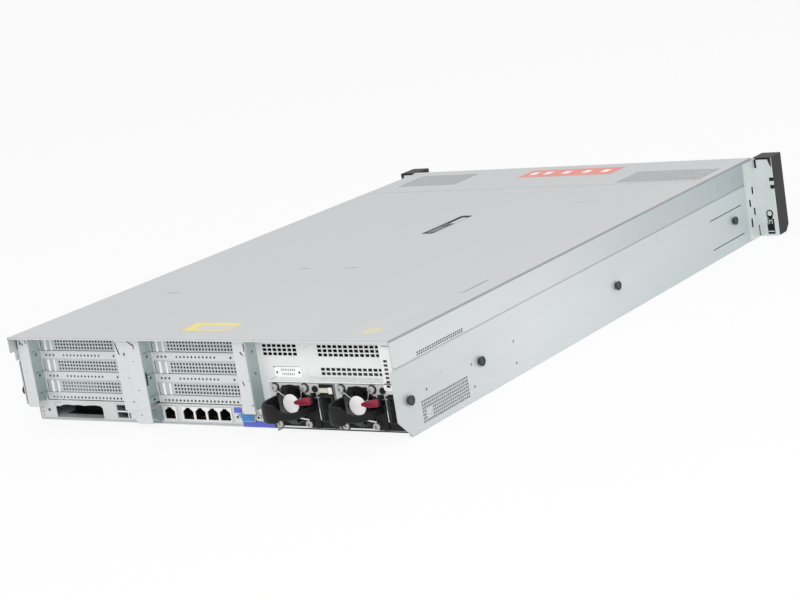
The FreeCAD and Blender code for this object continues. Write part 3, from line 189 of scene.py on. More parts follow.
def sticker(name, colour):
    material, tree, shader = principled(name, colour, 0.0, 0.38)
    vary(tree, shader, noise(tree, 50.0), colour, 0.03, 0.38, 0.05)
    return material


COVER = steel("cover_sheet", (0.555, 0.565, 0.575), 0.46, 0.35, 0.02, (1, 0.15, 1))
# Painted light and shade along the side walls: lightest a little in front of the rear, darker towards both
# ends, teal towards the front.
SIDE = light_falloff_steel("side_sheet",
                   [(0.0, (0.57, 0.60, 0.61)), (0.3, (0.66, 0.69, 0.70)), (1.0, (0.535, 0.60, 0.612))])
# Painted shade along the cover skirts: pale near the rear, darker and teal towards the front.
SKIRT_SHEET = light_falloff_steel("skirt_sheet", [(0.35, (0.64, 0.665, 0.67)), (1.0, (0.375, 0.44, 0.46))])
# A lighter copy of the cover's steel: painted light on its rear-facing hem.
HEM_SHEET = steel("hem_sheet", (0.66, 0.68, 0.675), 0.44, 0.3, 0.02)
# A dark copy of the cover's steel: painted shade on the bends between top and skirts, read as a dark line
# along the edge.
BEND_SHEET = steel("bend_sheet", (0.30, 0.315, 0.32), 0.45, 0.35, 0.03)
PANEL = steel("rear_sheet", (0.68, 0.70, 0.70), 0.40, 0.30, 0.02, (1, 1, 0.2))
VENT_SHEET = steel("vent_sheet", (0.80, 0.805, 0.805), 0.42, 0.2, 0.02)
# A near-white copy of the vent wall's steel: painted light on the folded lip, which sits in the cover's
# shadow. The serial plate is drawn in it too.
LIP_SHEET = steel("lip_sheet", (0.95, 0.95, 0.95), 0.5, 0.0, 0.02)
PORT_PLATE = steel("port_sheet", (0.665, 0.675, 0.675), 0.42, 0.30, 0.03)
# Painted shade down the recess walls and gusset: pale at the top, darker and teal-grey towards the bottom.
INSIDE = light_falloff_steel("inner_sheet",
                     [(0.0, (0.60, 0.68, 0.69)), (0.3, (0.47, 0.54, 0.545)), (1.0, (0.32, 0.40, 0.405))], "Z",
                     (84.0, 18.0))
EAR_SHEET = steel("ear_sheet", (0.66, 0.705, 0.705), 0.42, 0.30, 0.03)
SUPPLY_SHEET = steel("supply_sheet", (0.56, 0.575, 0.575), 0.42, 0.45, 0.03)
COVER_BRIGHT = steel("blank_sheet", (0.555, 0.59, 0.59), 0.36, 0.35, 0.03, (1, 1, 0.2))
SHIELD_BRIGHT = steel("jack_shield", (0.86, 0.85, 0.85), 0.3, 0.4, 0.04)
SHIELD = steel("socket_shield", (0.75, 0.76, 0.77), 0.25, 0.8, 0.05)
BRIGHT = steel("bright_screw", (0.80, 0.81, 0.82), 0.22, 0.85, 0.05)
# Near-white sheet for painted highlights on pressed ribs and turned lips.
RIB_HIGHLIGHT = steel("rib_highlight_sheet", (0.88, 0.895, 0.895), 0.40, 0.2, 0.02)
HOOK_SHADE = steel("gap_shade", (0.085, 0.095, 0.095), 0.6, 0.2, 0.1)
SCREW = steel("dull_screw", (0.50, 0.49, 0.475), 0.3, 0.85, 0.08)
DARK_STEEL = steel("dark_steel", (0.075, 0.075, 0.08), 0.45, 0.4, 0.1)
STUD = steel("stud_steel", (0.045, 0.048, 0.05), 0.35, 0.5, 0.1)
GOLD = steel("contact_gold", (0.80, 0.55, 0.20), 0.25, 0.9, 0.05)
FINS = steel("fin_aluminium", (0.78, 0.79, 0.80), 0.3, 0.8, 0.04, (1, 0.1, 1))
DRIVE = steel("drive_casting", (0.42, 0.43, 0.44), 0.45, 0.6, 0.06)
BLACK = plastic("black_plastic", (0.0075, 0.0075, 0.008), 0.5, shine=0.22)
CHARCOAL = plastic("charcoal_plastic", (0.045, 0.047, 0.048), 0.5)
LEVER_GREY = plastic("lever_grey", (0.13, 0.133, 0.135), 0.5)
BLACK_HOLE = plastic("opening_black", (0.008, 0.008, 0.009), 0.8, shine=0.1)
EAR = plastic("ear_plastic", (0.024, 0.025, 0.025), 0.6, shine=0.3)
MAROON = plastic("maroon_plastic", (0.24, 0.012, 0.035), 0.35)
WHITE = plastic("white_plastic", (0.92, 0.90, 0.905), 0.4)
BLUE = plastic("blue_plastic", (0.075, 0.26, 0.58), 0.4)
VIOLET = plastic("violet_plastic", (0.11, 0.15, 0.60), 0.4)
GREEN_LIGHT = plastic("lamp_green", (0.10, 0.42, 0.16), 0.3)
BAFFLE = plastic("baffle_plastic", (0.03, 0.03, 0.033), 0.6)
BOARD = circuit_board("board_green", (0.02, 0.11, 0.05))
MODULE = circuit_board("module_green", (0.03, 0.14, 0.07))
YELLOW = sticker("label_yellow", (0.80, 0.66, 0.16))
PALE = sticker("label_grey", (0.56, 0.57, 0.57))
BEIGE = sticker("label_beige", (0.60, 0.59, 0.50))
CORAL = sticker("label_coral", (0.77, 0.19, 0.14))


# ---------------------------------------------------------------- mesh helpers

def finish_mesh(name, bm, material, body, replaces=(), smooth=False):
    """Turns a bmesh in millimetres into a piece that rides on a CAD body."""
    bmesh.ops.remove_doubles(bm, verts=bm.verts, dist=0.0005)
    bmesh.ops.recalc_face_normals(bm, faces=bm.faces)
    mesh = bpy.data.meshes.new(name)
    bm.to_mesh(mesh)
    bm.free()
    mesh.transform(Matrix.Scale(MM, 4))
    mesh.materials.append(material)
    if smooth:
        for face in mesh.polygons:
            face.use_smooth = True
        mesh.set_sharp_from_angle(angle=math.radians(35))
    piece = bpy.data.objects.new(name, mesh)
    bpy.context.scene.collection.objects.link(piece)
    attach(piece, body)
    if replaces:
        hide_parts(*replaces)
    return piece


# How a flat drawing (u, v) and a depth w become X, Y and Z.
PLANES = {
    "rear": lambda u, v, w: (u, w, v),
    "side": lambda u, v, w: (w, u, v),
    "top": lambda u, v, w: (u, v, w),
}


def box_loop(u0, u1, v0, v1):
    return [(u0, v0), (u1, v0), (u1, v1), (u0, v1)]


def round_loop(u, v, radius, points=16):
    return [(u + radius * math.cos(2 * math.pi * i / points), v + radius * math.sin(2 * math.pi * i / points))
            for i in range(points)]


def soft_loop(u0, u1, v0, v1, radius, points=4):
    """A rectangle with round corners."""
    loop = []
    for cu, cv, start in ((u1 - radius, v1 - radius, 0), (u0 + radius, v1 - radius, 90),
                          (u0 + radius, v0 + radius, 180), (u1 - radius, v0 + radius, 270)):
        for i in range(points + 1):
            turn = math.radians(start + 90 * i / points)
            loop.append((cu + radius * math.cos(turn), cv + radius * math.sin(turn)))
    return loop


def grid_of(u_first, u_last, columns, v_first, v_last, rows, width, height):
    """Rectangular holes whose centres run evenly from first to last each way."""
    loops = []
    for i in range(columns):
        u = u_first + (u_last - u_first) * i / max(1, columns - 1)
        for j in range(rows):
            v = v_first + (v_last - v_first) * j / max(1, rows - 1)
            loops.append(box_loop(u - width / 2, u + width / 2, v - height / 2, v + height / 2))
    return loops


def add_sheet(bm, plane, face, back, outline, holes=()):
    """A flat plate between two depths, with holes cut by a constrained triangulation."""
    points = [Vector(point) for point in outline]
    loops = [list(range(len(points)))]
    for hole in holes:
        start = len(points)
        points += [Vector(point) for point in hole]
        loops.append(list(range(start, len(points))))
    found, _, triangles, _, _, _ = delaunay_2d_cdt(points, [], loops, 2, 1e-5)
    put = PLANES[plane]
    front = [bm.verts.new(put(p.x, p.y, face)) for p in found]
    rear_side = [bm.verts.new(put(p.x, p.y, back)) for p in found]
    count = {}
    for triangle in triangles:
        bm.faces.new([front[i] for i in triangle])
        bm.faces.new([rear_side[i] for i in reversed(triangle)])
        for i in range(len(triangle)):
            edge = (triangle[i], triangle[(i + 1) % len(triangle)])
            count[tuple(sorted(edge))] = count.get(tuple(sorted(edge)), []) + [edge]
    for sides in count.values():
        if len(sides) == 1:
            a, b = sides[0]
            bm.faces.new((front[b], front[a], rear_side[a], rear_side[b]))


def add_prism(bm, plane, low, high, outline):
    add_sheet(bm, plane, high, low, outline)


def add_block(bm, x, y, z):
    add_sheet(bm, "top", z[1], z[0], box_loop(x[0], x[1], y[0], y[1]))


def add_lathe(bm, axis, centre, profile, segments=24):
    """Turns (radius, distance) pairs about an axis through the centre."""
    rings = []
    for radius, along in profile:
        ring = []
        for i in range(segments):
            turn = 2 * math.pi * i / segments
            a, b = radius * math.cos(turn), radius * math.sin(turn)
            spot = {"X": (along, a, b), "Y": (b, along, a), "Z": (a, b, along)}[axis]
            ring.append(bm.verts.new(Vector(centre) + Vector(spot)))
        rings.append(ring)
    for lower, upper in zip(rings, rings[1:]):
        for i in range(segments):
            bm.faces.new((lower[i], lower[(i + 1) % segments], upper[(i + 1) % segments], upper[i]))
    if profile[0][0] > 0:
        bm.faces.new(rings[0])
    if profile[-1][0] > 0:
        bm.faces.new(list(reversed(rings[-1])))


def add_screw(bm, axis, centre, radius, height, out):
    """A pan-head screw with a round dished recess, standing out along an axis."""
    dome = [(radius, 0.0), (radius, height * 0.45 * out), (radius * 0.8, height * 0.85 * out),
            (radius * 0.35, height * out), (radius * 0.3, height * 0.55 * out), (0.02, height * 0.5 * out)]
    add_lathe(bm, axis, centre, dome, 20)


def bend(u, v, outer, start, thickness, points=5):
    """The outline of a quarter bend about (u, v), starting at an angle in degrees."""
    turns = [math.radians(start + 90 * i / points) for i in range(points + 1)]
    outside = [(u + outer * math.cos(t), v + outer * math.sin(t)) for t in turns]
    inner = outer - thickness
    inside = [(u + inner * math.cos(t), v + inner * math.sin(t)) for t in reversed(turns)]
    return outside + inside


def new_piece(name, material, body, build, replaces=(), smooth=False):
    bm = bmesh.new()
    build(bm)
    return finish_mesh(name, bm, material, body, replaces, smooth)


# ---------------------------------------------------------------- tray

TRAY_GAUGE = 1.2
WALL_TOP = SKIRT - 1.9


def side_vents():
    """Seven rows of small vents, less a patch about the screw."""
    holes = grid_of(rear(-103.4), rear(-32.4), 24, 7.4, 24.6, 7, 2.35, 2.0)
    screw = Vector((rear(-42.1), 13.1))
    return [hole for hole in holes
            if (Vector(hole[0]) + Vector((1.05, 0.95)) - screw).length > 5.0]


def tray(bm):
    inner = HALF - TRAY_GAUGE
    edge = 1.5
    for side in (1, -1):
        end = rear(-9.0) if side > 0 else rear(5.0)
        if side > 0:
            outline = [(FRONT_EDGE, edge), (rear(-24.0), edge), (rear(-24.0), 19), (end, 19), (end, WALL_TOP),
                       (FRONT_EDGE, WALL_TOP)]
        else:
            outline = [(FRONT_EDGE, edge), (rear(-12.0), edge), (end, 18), (end, WALL_TOP),
                       (FRONT_EDGE, WALL_TOP)]
        marks = [round_loop(rear(-back), z, 1.3, 12)
                 for back, z in ((41.7, 33.0), (113.7, 33.0), (113.9, 12.8), (185.0, 33.0), (185.5, 12.8))]
        marks += [soft_loop(rear(-667.0), rear(-591.0), z - 0.55, z + 0.55, 0.5) for z in (44.0, 13.0)]
        add_sheet(bm, "side", side * HALF, side * inner, outline, side_vents() + marks)
        upper = (HALF - 1.4, HALF - 1.4 - TRAY_GAUGE)
        top_end = rear(-9.0) if side > 0 else rear(-1.0)
        window = [box_loop(rear(-110.0), rear(-34.0), SKIRT + 1.2, SKIRT + 4.6)]
        add_sheet(bm, "side", side * upper[0], side * upper[1],
                  box_loop(FRONT_EDGE, top_end, SKIRT - 0.4, TRAY_HIGH.z), window)
        joggle = [(side * HALF, WALL_TOP), (side * upper[0], SKIRT - 0.4), (side * upper[1], SKIRT - 0.4),
                  (side * inner, WALL_TOP)]
        add_prism(bm, "rear", FRONT_EDGE, top_end, joggle)
        fold = bend(side * (HALF - edge), edge, edge, 270 if side > 0 else 180, TRAY_GAUGE)
        add_prism(bm, "rear", FRONT_EDGE, rear(-24.0) if side > 0 else rear(-12.0), fold)
    add_sheet(bm, "top", TRAY_GAUGE, 0.0, box_loop(edge - HALF, HALF - edge, FRONT_EDGE, rear(-23.0)))


new_piece("tray_sheet", SIDE, "chassis", tray, ["chassis_tray"])


def side_trim(bm):
    """Pressed marks of the side walls: small embosses and a screw."""
    for side in (1, -1):
        for back, z in ((56.0, 40.0), (68.0, 41.0), (473.5, 57.0), (525.0, 57.0)):
            add_prism(bm, "side", side * HALF, side * (HALF + 0.3),
                      soft_loop(rear(-back) - 2.4, rear(-back) + 2.4, z - 0.7, z + 0.7, 0.6))
        add_screw(bm, "X", (side * HALF, rear(-42.1), 13.1), 2.6, 0.9, side)


STUD_UP = (corners("rail_studs")[0].z + corners("rail_studs")[1].z) / 2
STUDS_ALONG = [rear(-back) for back in (14.0, 127.0, 380.0, 645.0)]


def studs(bm):
    """Rail studs: a waisted neck under a round head with a dished face."""
    low, high = corners("rail_studs")
    reach = high.x - HALF
    for side in (1, -1):
        for y in STUDS_ALONG:
            add_lathe(bm, "X", (side * HALF, y, STUD_UP),
                      [(r, side * out)
                       for r, out in ((3.2, 0.0), (3.2, reach - 2.0), (4.3, reach - 1.8), (4.5, reach - 1.4),
                                      (4.5, reach - 0.4), (4.1, reach), (3.2, reach), (2.9, reach - 0.5),
                                      (0.9, reach - 0.7), (0.02, reach - 0.7))], 28)


new_piece("stud_heads", STUD, "chassis", studs, ["rail_studs"])
new_piece("side_trim", SIDE, "chassis", side_trim, smooth=True)

# ---------------------------------------------------------------- covers

GAUGE = 1.0
BEND = 1.6
LID_SLOTS = ((135.0, 153.5, -157.5, 1.6), (44.0, 55.0, -246.3, 1.6), (-14.8, 1.6, -247.0, 1.6))


def lid_top(bm, y0, y1, holes):
    """The flat of a lid between two ends."""
    flat = HALF - BEND
    add_sheet(bm, "top", TOP, TOP - GAUGE, box_loop(-flat, flat, y0, y1), holes)


def lid_skirts(bm, holes, skirts):
    for side in (1, -1):
        add_sheet(bm, "side", side * HALF, side * (HALF - GAUGE), skirts[side], holes)


def lid_bends(bm, y0, y1):
    flat = HALF - BEND
    for side in (1, -1):
        add_prism(bm, "rear", y0, y1, bend(side * flat, TOP - BEND, BEND, 0 if side > 0 else 90, GAUGE))


def front_cover(bm):
    holes = grid_of(117.5, 191.5, 17, rear(-680.5), rear(-628.5), 13, 3.4, 3.3)
    holes += grid_of(-205.0, -109.0, 22, rear(-653.5), rear(-603.5), 12, 3.4, 3.4)
    lid_top(bm, FRONT_EDGE, SEAM - 1.0, holes)


new_piece("front_cover_sheet", COVER, "chassis", front_cover, ["front_top_cover"])
front_skirt = box_loop(FRONT_EDGE, SEAM - 0.15, SKIRT, TOP - BEND)
new_piece("front_cover_skirts", SKIRT_SHEET, "chassis",
          lambda bm: lid_skirts(bm, [], {1: front_skirt, -1: front_skirt}))
new_piece("front_cover_bends", BEND_SHEET, "chassis", lambda bm: lid_bends(bm, FRONT_EDGE, SEAM - 0.15),
          smooth=True)


def access_cover(bm):
    holes = [soft_loop(x0, x1, rear(y) - wide / 2, rear(y) + wide / 2, wide * 0.45)
             for x0, x1, y, wide in LID_SLOTS]
    holes.append(soft_loop(-13.0, 1.6, rear(-463.0), rear(-383.0), 3.0))
    holes.append([(-195.9, rear(-195.0)), (-194.3, rear(-195.0)), (-194.3, rear(-155.0)),
                  (-189.0, rear(-152.4)), (-189.0, rear(-151.0)), (-195.9, rear(-153.2))])
    lid_top(bm, SEAM, rear(0), holes)


def cover_hem(bm):
    flat = HALF - BEND
    add_sheet(bm, "rear", rear(0), rear(-GAUGE), box_loop(-flat, flat, TOP - 2.0, TOP - GAUGE))


def access_skirts(bm):
    vents = grid_of(rear(-107.0), rear(-36.6), 22, SKIRT + 1.9, SKIRT + 3.9, 2, 2.4, 1.4)
    notched = [(SEAM, SKIRT), (rear(-6.0), SKIRT), (rear(-6.0), 72.0), (rear(0), 72.0), (rear(0), TOP - BEND),
               (SEAM, TOP - BEND)]
    plain = [(SEAM, SKIRT), (rear(-1.6), SKIRT), (rear(0), SKIRT + 1.6), (rear(0), TOP - BEND),
             (SEAM, TOP - BEND)]
    lid_skirts(bm, vents, {1: notched, -1: plain})


new_piece("access_cover_sheet", COVER, "service_cover", access_cover, ["access_panel"])
new_piece("access_cover_hem", HEM_SHEET, "service_cover", cover_hem)
new_piece("access_cover_skirts", SKIRT_SHEET, "service_cover", access_skirts)
new_piece("access_cover_bends", BEND_SHEET, "service_cover", lambda bm: lid_bends(bm, SEAM, rear(0)),
          smooth=True)

# ---------------------------------------------------------------- riser cages

COVER_SET_BACK = 1.9
PLATE = corners("slot_cover_1")[0].y + COVER_SET_BACK
RISER_LEFTS = [corners(f"slot_cover_{number}")[1].x + 2.0 for number in (1, 4)]
RISER_TOP = corners("riser_cage_1")[1].z
SLOTS_UP = [sum(z for _, _, z in corners(f"slot_cover_{number}")) / 2 for number in (3, 2, 1)]
SLOT_HALF = 6.05
RECESS = 121.5
FLANGE_WIDE = 13.3
COLUMN_SPLIT = 16.6


def dots(u_first, u_last, count, v, radius, points=8):
    return [round_loop(u_first + (u_last - u_first) * i / max(1, count - 1), v, radius, points)
            for i in range(count)]


def riser_plate(bm, left, first):
    """Set-back plate with three slot openings, rows of small holes and a flange at each side."""
    right = left - RECESS
    holes = [box_loop(right + 0.5, left - 1.5, z - SLOT_HALF, z + SLOT_HALF) for z in SLOTS_UP]
    for z in (SLOTS_UP[0] + 10.0, SLOTS_UP[1] + 10.0):
        holes += dots(left - 16.6, left - 7.4, 3, z, 1.3) + dots(left - 73.8, left - 29.6, 11, z, 1.15)
        holes += dots(left - 92.4, left - 92.4, 1, z, 1.25)
    holes += dots(left - 92.0, left - 7.2, 20, SLOTS_UP[0] - 10.7, 1.2)
    add_sheet(bm, "rear", PLATE, PLATE - 1.0, box_loop(right, left, 20.4, RISER_TOP), holes)
    flange_end = TRAY_HIGH.x - 2.6 if first else left + 16.95
    marks = [(left + 8.4, 51.3, 0.5), (left + 8.5, 30.8, 0.5)] if first else [
        (left + 9.6, 63.1, 0.55), (left + 9.6, 35.7, 0.7)]
    add_sheet(bm, "rear", FLANGE, FLANGE - 1.0, box_loop(left, flange_end, COLUMN_SPLIT, RISER_TOP),
              [round_loop(u, v, radius, 10) for u, v, radius in marks])
    marks = dots(right + 1.4, right + 1.4, 1, 70.0, 0.5) + dots(right + 1.4, right + 1.4, 1, 47.3, 0.7)
    marks += dots(right + 1.4, right + 1.4, 1, 24.7, 1.0, 12)
    add_sheet(bm, "rear", FLANGE, FLANGE - 1.0,
              box_loop(right, right + FLANGE_WIDE, COLUMN_SPLIT, RISER_TOP), marks)
    add_prism(bm, "rear", PLATE - 15.0, PLATE - 1.0, box_loop(right, left, RISER_TOP - 1.0, RISER_TOP))
    for back, z in ((75.0, 40.0), (75.0, 75.0), (205.0, 40.0), (205.0, 75.0)):
        add_block(bm, (left - 3.0, left), (rear(-back - 4.0), rear(-back + 4.0)), (z - 2.5, z + 2.5))
    for z in SLOTS_UP:
        add_prism(bm, "rear", PLATE, PLATE + 0.5,
                  box_loop(right + 4.0, left - 0.6, z + SLOT_HALF, z + SLOT_HALF + 0.5))


def riser_walls(bm, left):
    """The shaded inner wall of a recess, with its round holes and bracket hooks, and the far lip."""
    right = left - RECESS
    holes = []
    hooks = []
    for z in SLOTS_UP:
        holes.append(round_loop(rear(-17.4), z - 8.3, 1.35, 12))
        hooks.append([(rear(-13.2), z - 4.3), (rear(-22.6), z - 4.8), (rear(-22.6), z - 5.5),
                      (rear(-13.2), z - 5.0)])
    slot = [soft_loop(rear(-13.2), rear(-10.6), 39.8, 52.0, 0.3)] if left < 100 else []
    add_sheet(bm, "side", left, left + 1.0, box_loop(rear(-225.0), FLANGE - 1.0, 22.0, RISER_TOP),
              holes + hooks + slot)
    marks = [round_loop(rear(-17.8), z, 1.2, 12) for z in (71.6, 51.6)]
    add_sheet(bm, "side", right - 1.0, right,
              box_loop(PLATE - 1.0, FLANGE - 1.0, 19.8, RISER_TOP), marks)
    for z in SLOTS_UP:
        add_prism(bm, "side", left - 0.7, left,
                  [(rear(-12.8), z - 5.2), (rear(-21.6), z - 3.9), (rear(-23.0), z - 6.2),
                   (rear(-21.8), z - 4.9), (rear(-12.8), z - 6.2)])


def slot_blank(bm, left, z):
    """A perforated bracket with a bent screw tab; its two pressed ribs are drawn by slot_ribs."""
    plate_back = PLATE - COVER_SET_BACK
    holes = grid_of(left - 94.4, left - 21.4, 21, z - 3.2, z + 3.2, 3, 2.15, 1.9)
    holes.append(box_loop(left - 118.0, left - 2.8, z - SLOT_HALF, z - SLOT_HALF + 0.35))
    add_sheet(bm, "rear", PLATE - 1.0, plate_back,
              box_loop(left - 120.4, left - 2.0, z - 9.2, z + 9.2), holes)
    add_block(bm, (left - 120.4, left - 119.5), (PLATE - 1.0, PLATE + 9.6), (z - 5.6, z + 5.6))


def slot_ribs(bm, left):
    """Two pressed ribs up each slot cover, bright with painted highlight."""
    for z in SLOTS_UP:
        for across, half in ((7.8, 1.5), (15.4, 1.1)):
            arc = [(left - across + half * math.cos(t), PLATE - 1.0 + 1.3 * math.sin(t))
                   for t in [math.pi * i / 8 for i in range(9)]]
            add_prism(bm, "top", z - SLOT_HALF + 0.4, z + SLOT_HALF - 0.3, arc)


def riser_hooks(bm, left):
    """Dark hook-shaped gaps where the cage's folded end meets the next column."""
    right = left - RECESS
    edge = right + FLANGE_WIDE
    loops = [[(edge - 0.8, 80.4), (edge - 2.2, 80.4), (edge - 5.6, 69.4), (edge - 4.2, 69.4)],
             soft_loop(edge - 11.4, edge - 9.8, 68.4, 71.4, 0.6),
             [(edge - 16.0, 82.0), (edge - 17.6, 82.0), (edge - 23.8, 78.6), (edge - 23.0, 77.4)],
             [(edge - 22.8, 79.0), (edge - 24.0, 79.0), (edge - 24.0, 74.8), (edge - 23.0, 74.8)]]
    if left < 100:
        loops = [box_loop(right + 0.2, right + 1.2, 74.0, 80.6),
                 [(right + 6.4, 73.4), (right + 4.6, 73.4), (right + 2.6, 70.8), (right + 3.6, 69.8)],
                 [(right + 8.8, 46.6), (right + 7.8, 46.6), (right + 6.2, 43.2), (right + 7.2, 42.4)]]
    for loop in loops:
        add_sheet(bm, "rear", FLANGE + 0.15, FLANGE, loop)


def flange_hooks(bm):
    """Dark gaps of the folded tabs at the top of the left flange."""
    y = FLANGE + 0.15
    for loop in (box_loop(216.2, 217.4, 73.6, 81.8), box_loop(212.6, 213.6, 77.0, 81.8),
                 [(213.6, 79.2), (210.4, 79.2), (208.8, 77.0), (209.8, 76.6), (211.0, 78.2), (213.6, 78.2)],
                 [(206.6, 81.6), (205.6, 81.6), (204.4, 79.0), (205.4, 78.6)]):
        add_sheet(bm, "rear", y, FLANGE, loop)


for number, left in enumerate(RISER_LEFTS, 1):
    new_piece(f"riser_{number}_front", PANEL, "chassis", lambda bm: riser_plate(bm, left, number == 1),
              [f"riser_cage_{number}"])
    new_piece(f"riser_{number}_walls", INSIDE, "chassis", lambda bm: riser_walls(bm, left))
    new_piece(f"riser_{number}_hooks", HOOK_SHADE, "chassis", lambda bm: riser_hooks(bm, left))
    new_piece(f"slot_ribs_{number}", RIB_HIGHLIGHT, "chassis", lambda bm: slot_ribs(bm, left),
              smooth=True)
    for row, z in enumerate(reversed(SLOTS_UP)):
        cover = number * 3 - 2 + row
        new_piece(f"slot_blank_{cover}", COVER_BRIGHT, "chassis", lambda bm: slot_blank(bm, left, z),
                  [f"slot_cover_{cover}"], smooth=True)


new_piece("flange_hooks", HOOK_SHADE, "chassis", flange_hooks)


def card_backing(bm):
    """A bright shield close behind the lowest blank of the first cage."""
    left = RISER_LEFTS[0]
    z = SLOTS_UP[0]
    add_sheet(bm, "rear", PLATE - 3.2, PLATE - 3.8, box_loop(left - 60.0, left - 19.0, z - 6.0, z + 6.0),
              grid_of(left - 57.0, left - 22.0, 5, z - 3.0, z + 3.0, 3, 1.6, 1.2))


new_piece("card_shield", PANEL, "chassis", card_backing)

# ---------------------------------------------------------------- I/O panel and its sockets

PANEL_FACE = rear(-24.0)
LAN = corners("lan_jack_block")
MANAGEMENT = corners("management_jack")
USB = corners("usb_connector_stack")
VIDEO = corners("video_connector")
VIDEO_CENTRE = (VIDEO[0].x + VIDEO[1].x) / 2 - 1.6
VIDEO_UP = 9.8
JACK_PITCH = 14.3
POST_LEFT = RISER_LEFTS[1]


def jack_outline(u):
    """The mouth of a modular jack: a box with two steps at its top."""
    return [(u - 6.0, 5.0), (u + 6.0, 5.0), (u + 6.0, 12.4), (u + 3.2, 14.6), (u + 2.4, 14.6),
            (u + 2.4, 16.0), (u - 2.4, 16.0), (u - 2.4, 14.6), (u - 3.2, 14.6), (u - 6.0, 12.4)]


def io_plate(bm):
    low, high = corners("io_panel")
    top = 19.3
    mezzanine = [(137.6, 2.2), (197.2, 2.2), (197.6, 11.8), (195.2, 13.6), (192.0, 13.0), (187.0, 14.6),
                 (182.0, 15.0), (174.0, 14.4), (168.0, 14.9), (160.0, 14.2), (153.0, 14.8), (146.0, 15.0),
                 (139.6, 14.2), (137.6, 12.0)]
    holes = [mezzanine]
    for box in (LAN, MANAGEMENT, USB):
        holes.append(box_loop(box[0].x - 0.1, box[1].x + 0.1, 3.2, 17.1))
    holes.append(box_loop(VIDEO[0].x - 0.1, VIDEO[1].x + 0.1, 3.2, 17.1))
    holes.append(round_loop(206.5, 9.4, 1.7))
    holes += [round_loop(214.4, z, 0.75, 10) for z in (11.7, 7.5, 3.9)]
    holes += [box_loop(u, u + 0.9, v, v + 0.9) for u, v in ((195.6, 16.4), (193.6, 16.9), (191.6, 16.4),
                                                            (189.6, 16.9), (196.4, 14.6))]
    add_sheet(bm, "rear", PANEL_FACE, PANEL_FACE - 1.0, box_loop(low.x, high.x, low.z, top), holes)
    add_sheet(bm, "top", low.z + 1.0, low.z, box_loop(low.x, high.x, PANEL_FACE - 11.0, PANEL_FACE - 1.0))
    for u0, u1 in ((MANAGEMENT[0].x, MANAGEMENT[1].x), (USB[0].x, USB[1].x)):
        add_prism(bm, "rear", PANEL_FACE, PANEL_FACE + 0.5, box_loop(u0 - 1.2, u0 - 0.3, 3.0, 17.4))
        add_prism(bm, "rear", PANEL_FACE, PANEL_FACE + 0.5, box_loop(u1 + 0.3, u1 + 1.2, 3.0, 17.4))


def opening_shade_sheet(bm):
    """A dark sheet of painted shade on the tray's floor under the expansion opening, turned up at its inner
    end.
    """
    low, high = rear(-49.0), rear(-25.6)
    add_block(bm, (138.0, 197.0), (low, high), (TRAY_GAUGE + 0.02, TRAY_GAUGE + 0.3))
    add_block(bm, (138.0, 197.0), (low, low + 0.4), (TRAY_GAUGE + 0.3, 18.0))


def io_post(bm):
    """The lower end of the post between the risers, with a slanted corner, a boss and a hole."""
    top = COLUMN_SPLIT - 0.06
    outline = [(POST_LEFT, 4.0), (POST_LEFT + 17.0, 4.0), (POST_LEFT + 28.0, top), (POST_LEFT, top)]
    add_sheet(bm, "rear", FLANGE, FLANGE - 1.0, outline, [round_loop(POST_LEFT + 11.6, 12.4, 0.9, 12)])
    add_lathe(bm, "Y", (POST_LEFT + 21.5, FLANGE, 11.6),
              [(3.4, 0), (3.2, 0.7), (2.2, 0.9), (1.9, 0.4), (0.02, 0.4)])


def io_gusset(bm):
    top = COLUMN_SPLIT - 0.06
    outline = [(PANEL_FACE, 3.0), (rear(-19.0), 3.6), (FLANGE - 1.0, 10.0), (FLANGE - 1.0, top),
               (PANEL_FACE, top)]
    add_sheet(bm, "side", POST_LEFT, POST_LEFT + 1.0, outline)
    add_prism(bm, "side", POST_LEFT - 0.5, POST_LEFT,
              [(rear(-9.6), top - 0.2), (rear(-22.8), top + 0.9), (rear(-22.8), top + 0.3),
               (rear(-9.6), top - 0.9)])


def lan_block(bm, box, count):
    """Jack shields: a bright frame with dark mouths that end in a back wall."""
    centre = (box[0].x + box[1].x) / 2
    mouths = [jack_outline(centre + (i - (count - 1) / 2) * JACK_PITCH) for i in range(count)]
    face = box[1].y
    add_sheet(bm, "rear", face, face - 1.0, box_loop(box[0].x, box[1].x, 3.3, 17.0), mouths)
    for side in (box[0].x, box[1].x - 0.4):
        add_block(bm, (side, side + 0.4), (box[0].y, face - 1.0), (3.3, 17.0))
    add_block(bm, (box[0].x, box[1].x), (box[0].y, face - 1.0), (3.3, 3.8))
    add_block(bm, (box[0].x, box[1].x), (box[0].y, face - 1.0), (16.5, 17.0))
    add_prism(bm, "rear", face, face + 0.8, box_loop(box[0].x + 0.4, box[1].x - 0.4, 3.4, 4.4))


def jack_insides(bm, box, count):
    """Dark liners of the jacks."""
    centre = (box[0].x + box[1].x) / 2
    for i in range(count):
        u = centre + (i - (count - 1) / 2) * JACK_PITCH
        add_block(bm, (u - 6.6, u + 6.6), (box[0].y + 0.6, box[0].y + 6.0), (3.9, 16.4))
        for side in (u - 6.6, u + 6.1):
            add_block(bm, (side, side + 0.5), (box[0].y + 6.0, box[1].y - 1.1), (3.9, 16.4))
        add_block(bm, (u - 6.1, u + 6.1), (box[0].y + 6.0, box[1].y - 1.1), (3.9, 4.8))
        add_block(bm, (u - 6.1, u + 6.1), (box[0].y + 6.0, box[1].y - 1.1), (16.1, 16.4))


def jack_contacts(bm, box, count):
    centre = (box[0].x + box[1].x) / 2
    for i in range(count):
        u = centre + (i - (count - 1) / 2) * JACK_PITCH
        for pin in range(8):
            x = u + (pin - 3.5) * 1.02
            add_block(bm, (x - 0.2, x + 0.2), (box[1].y - 14.0, box[1].y - 6.0), (5.6, 5.9))


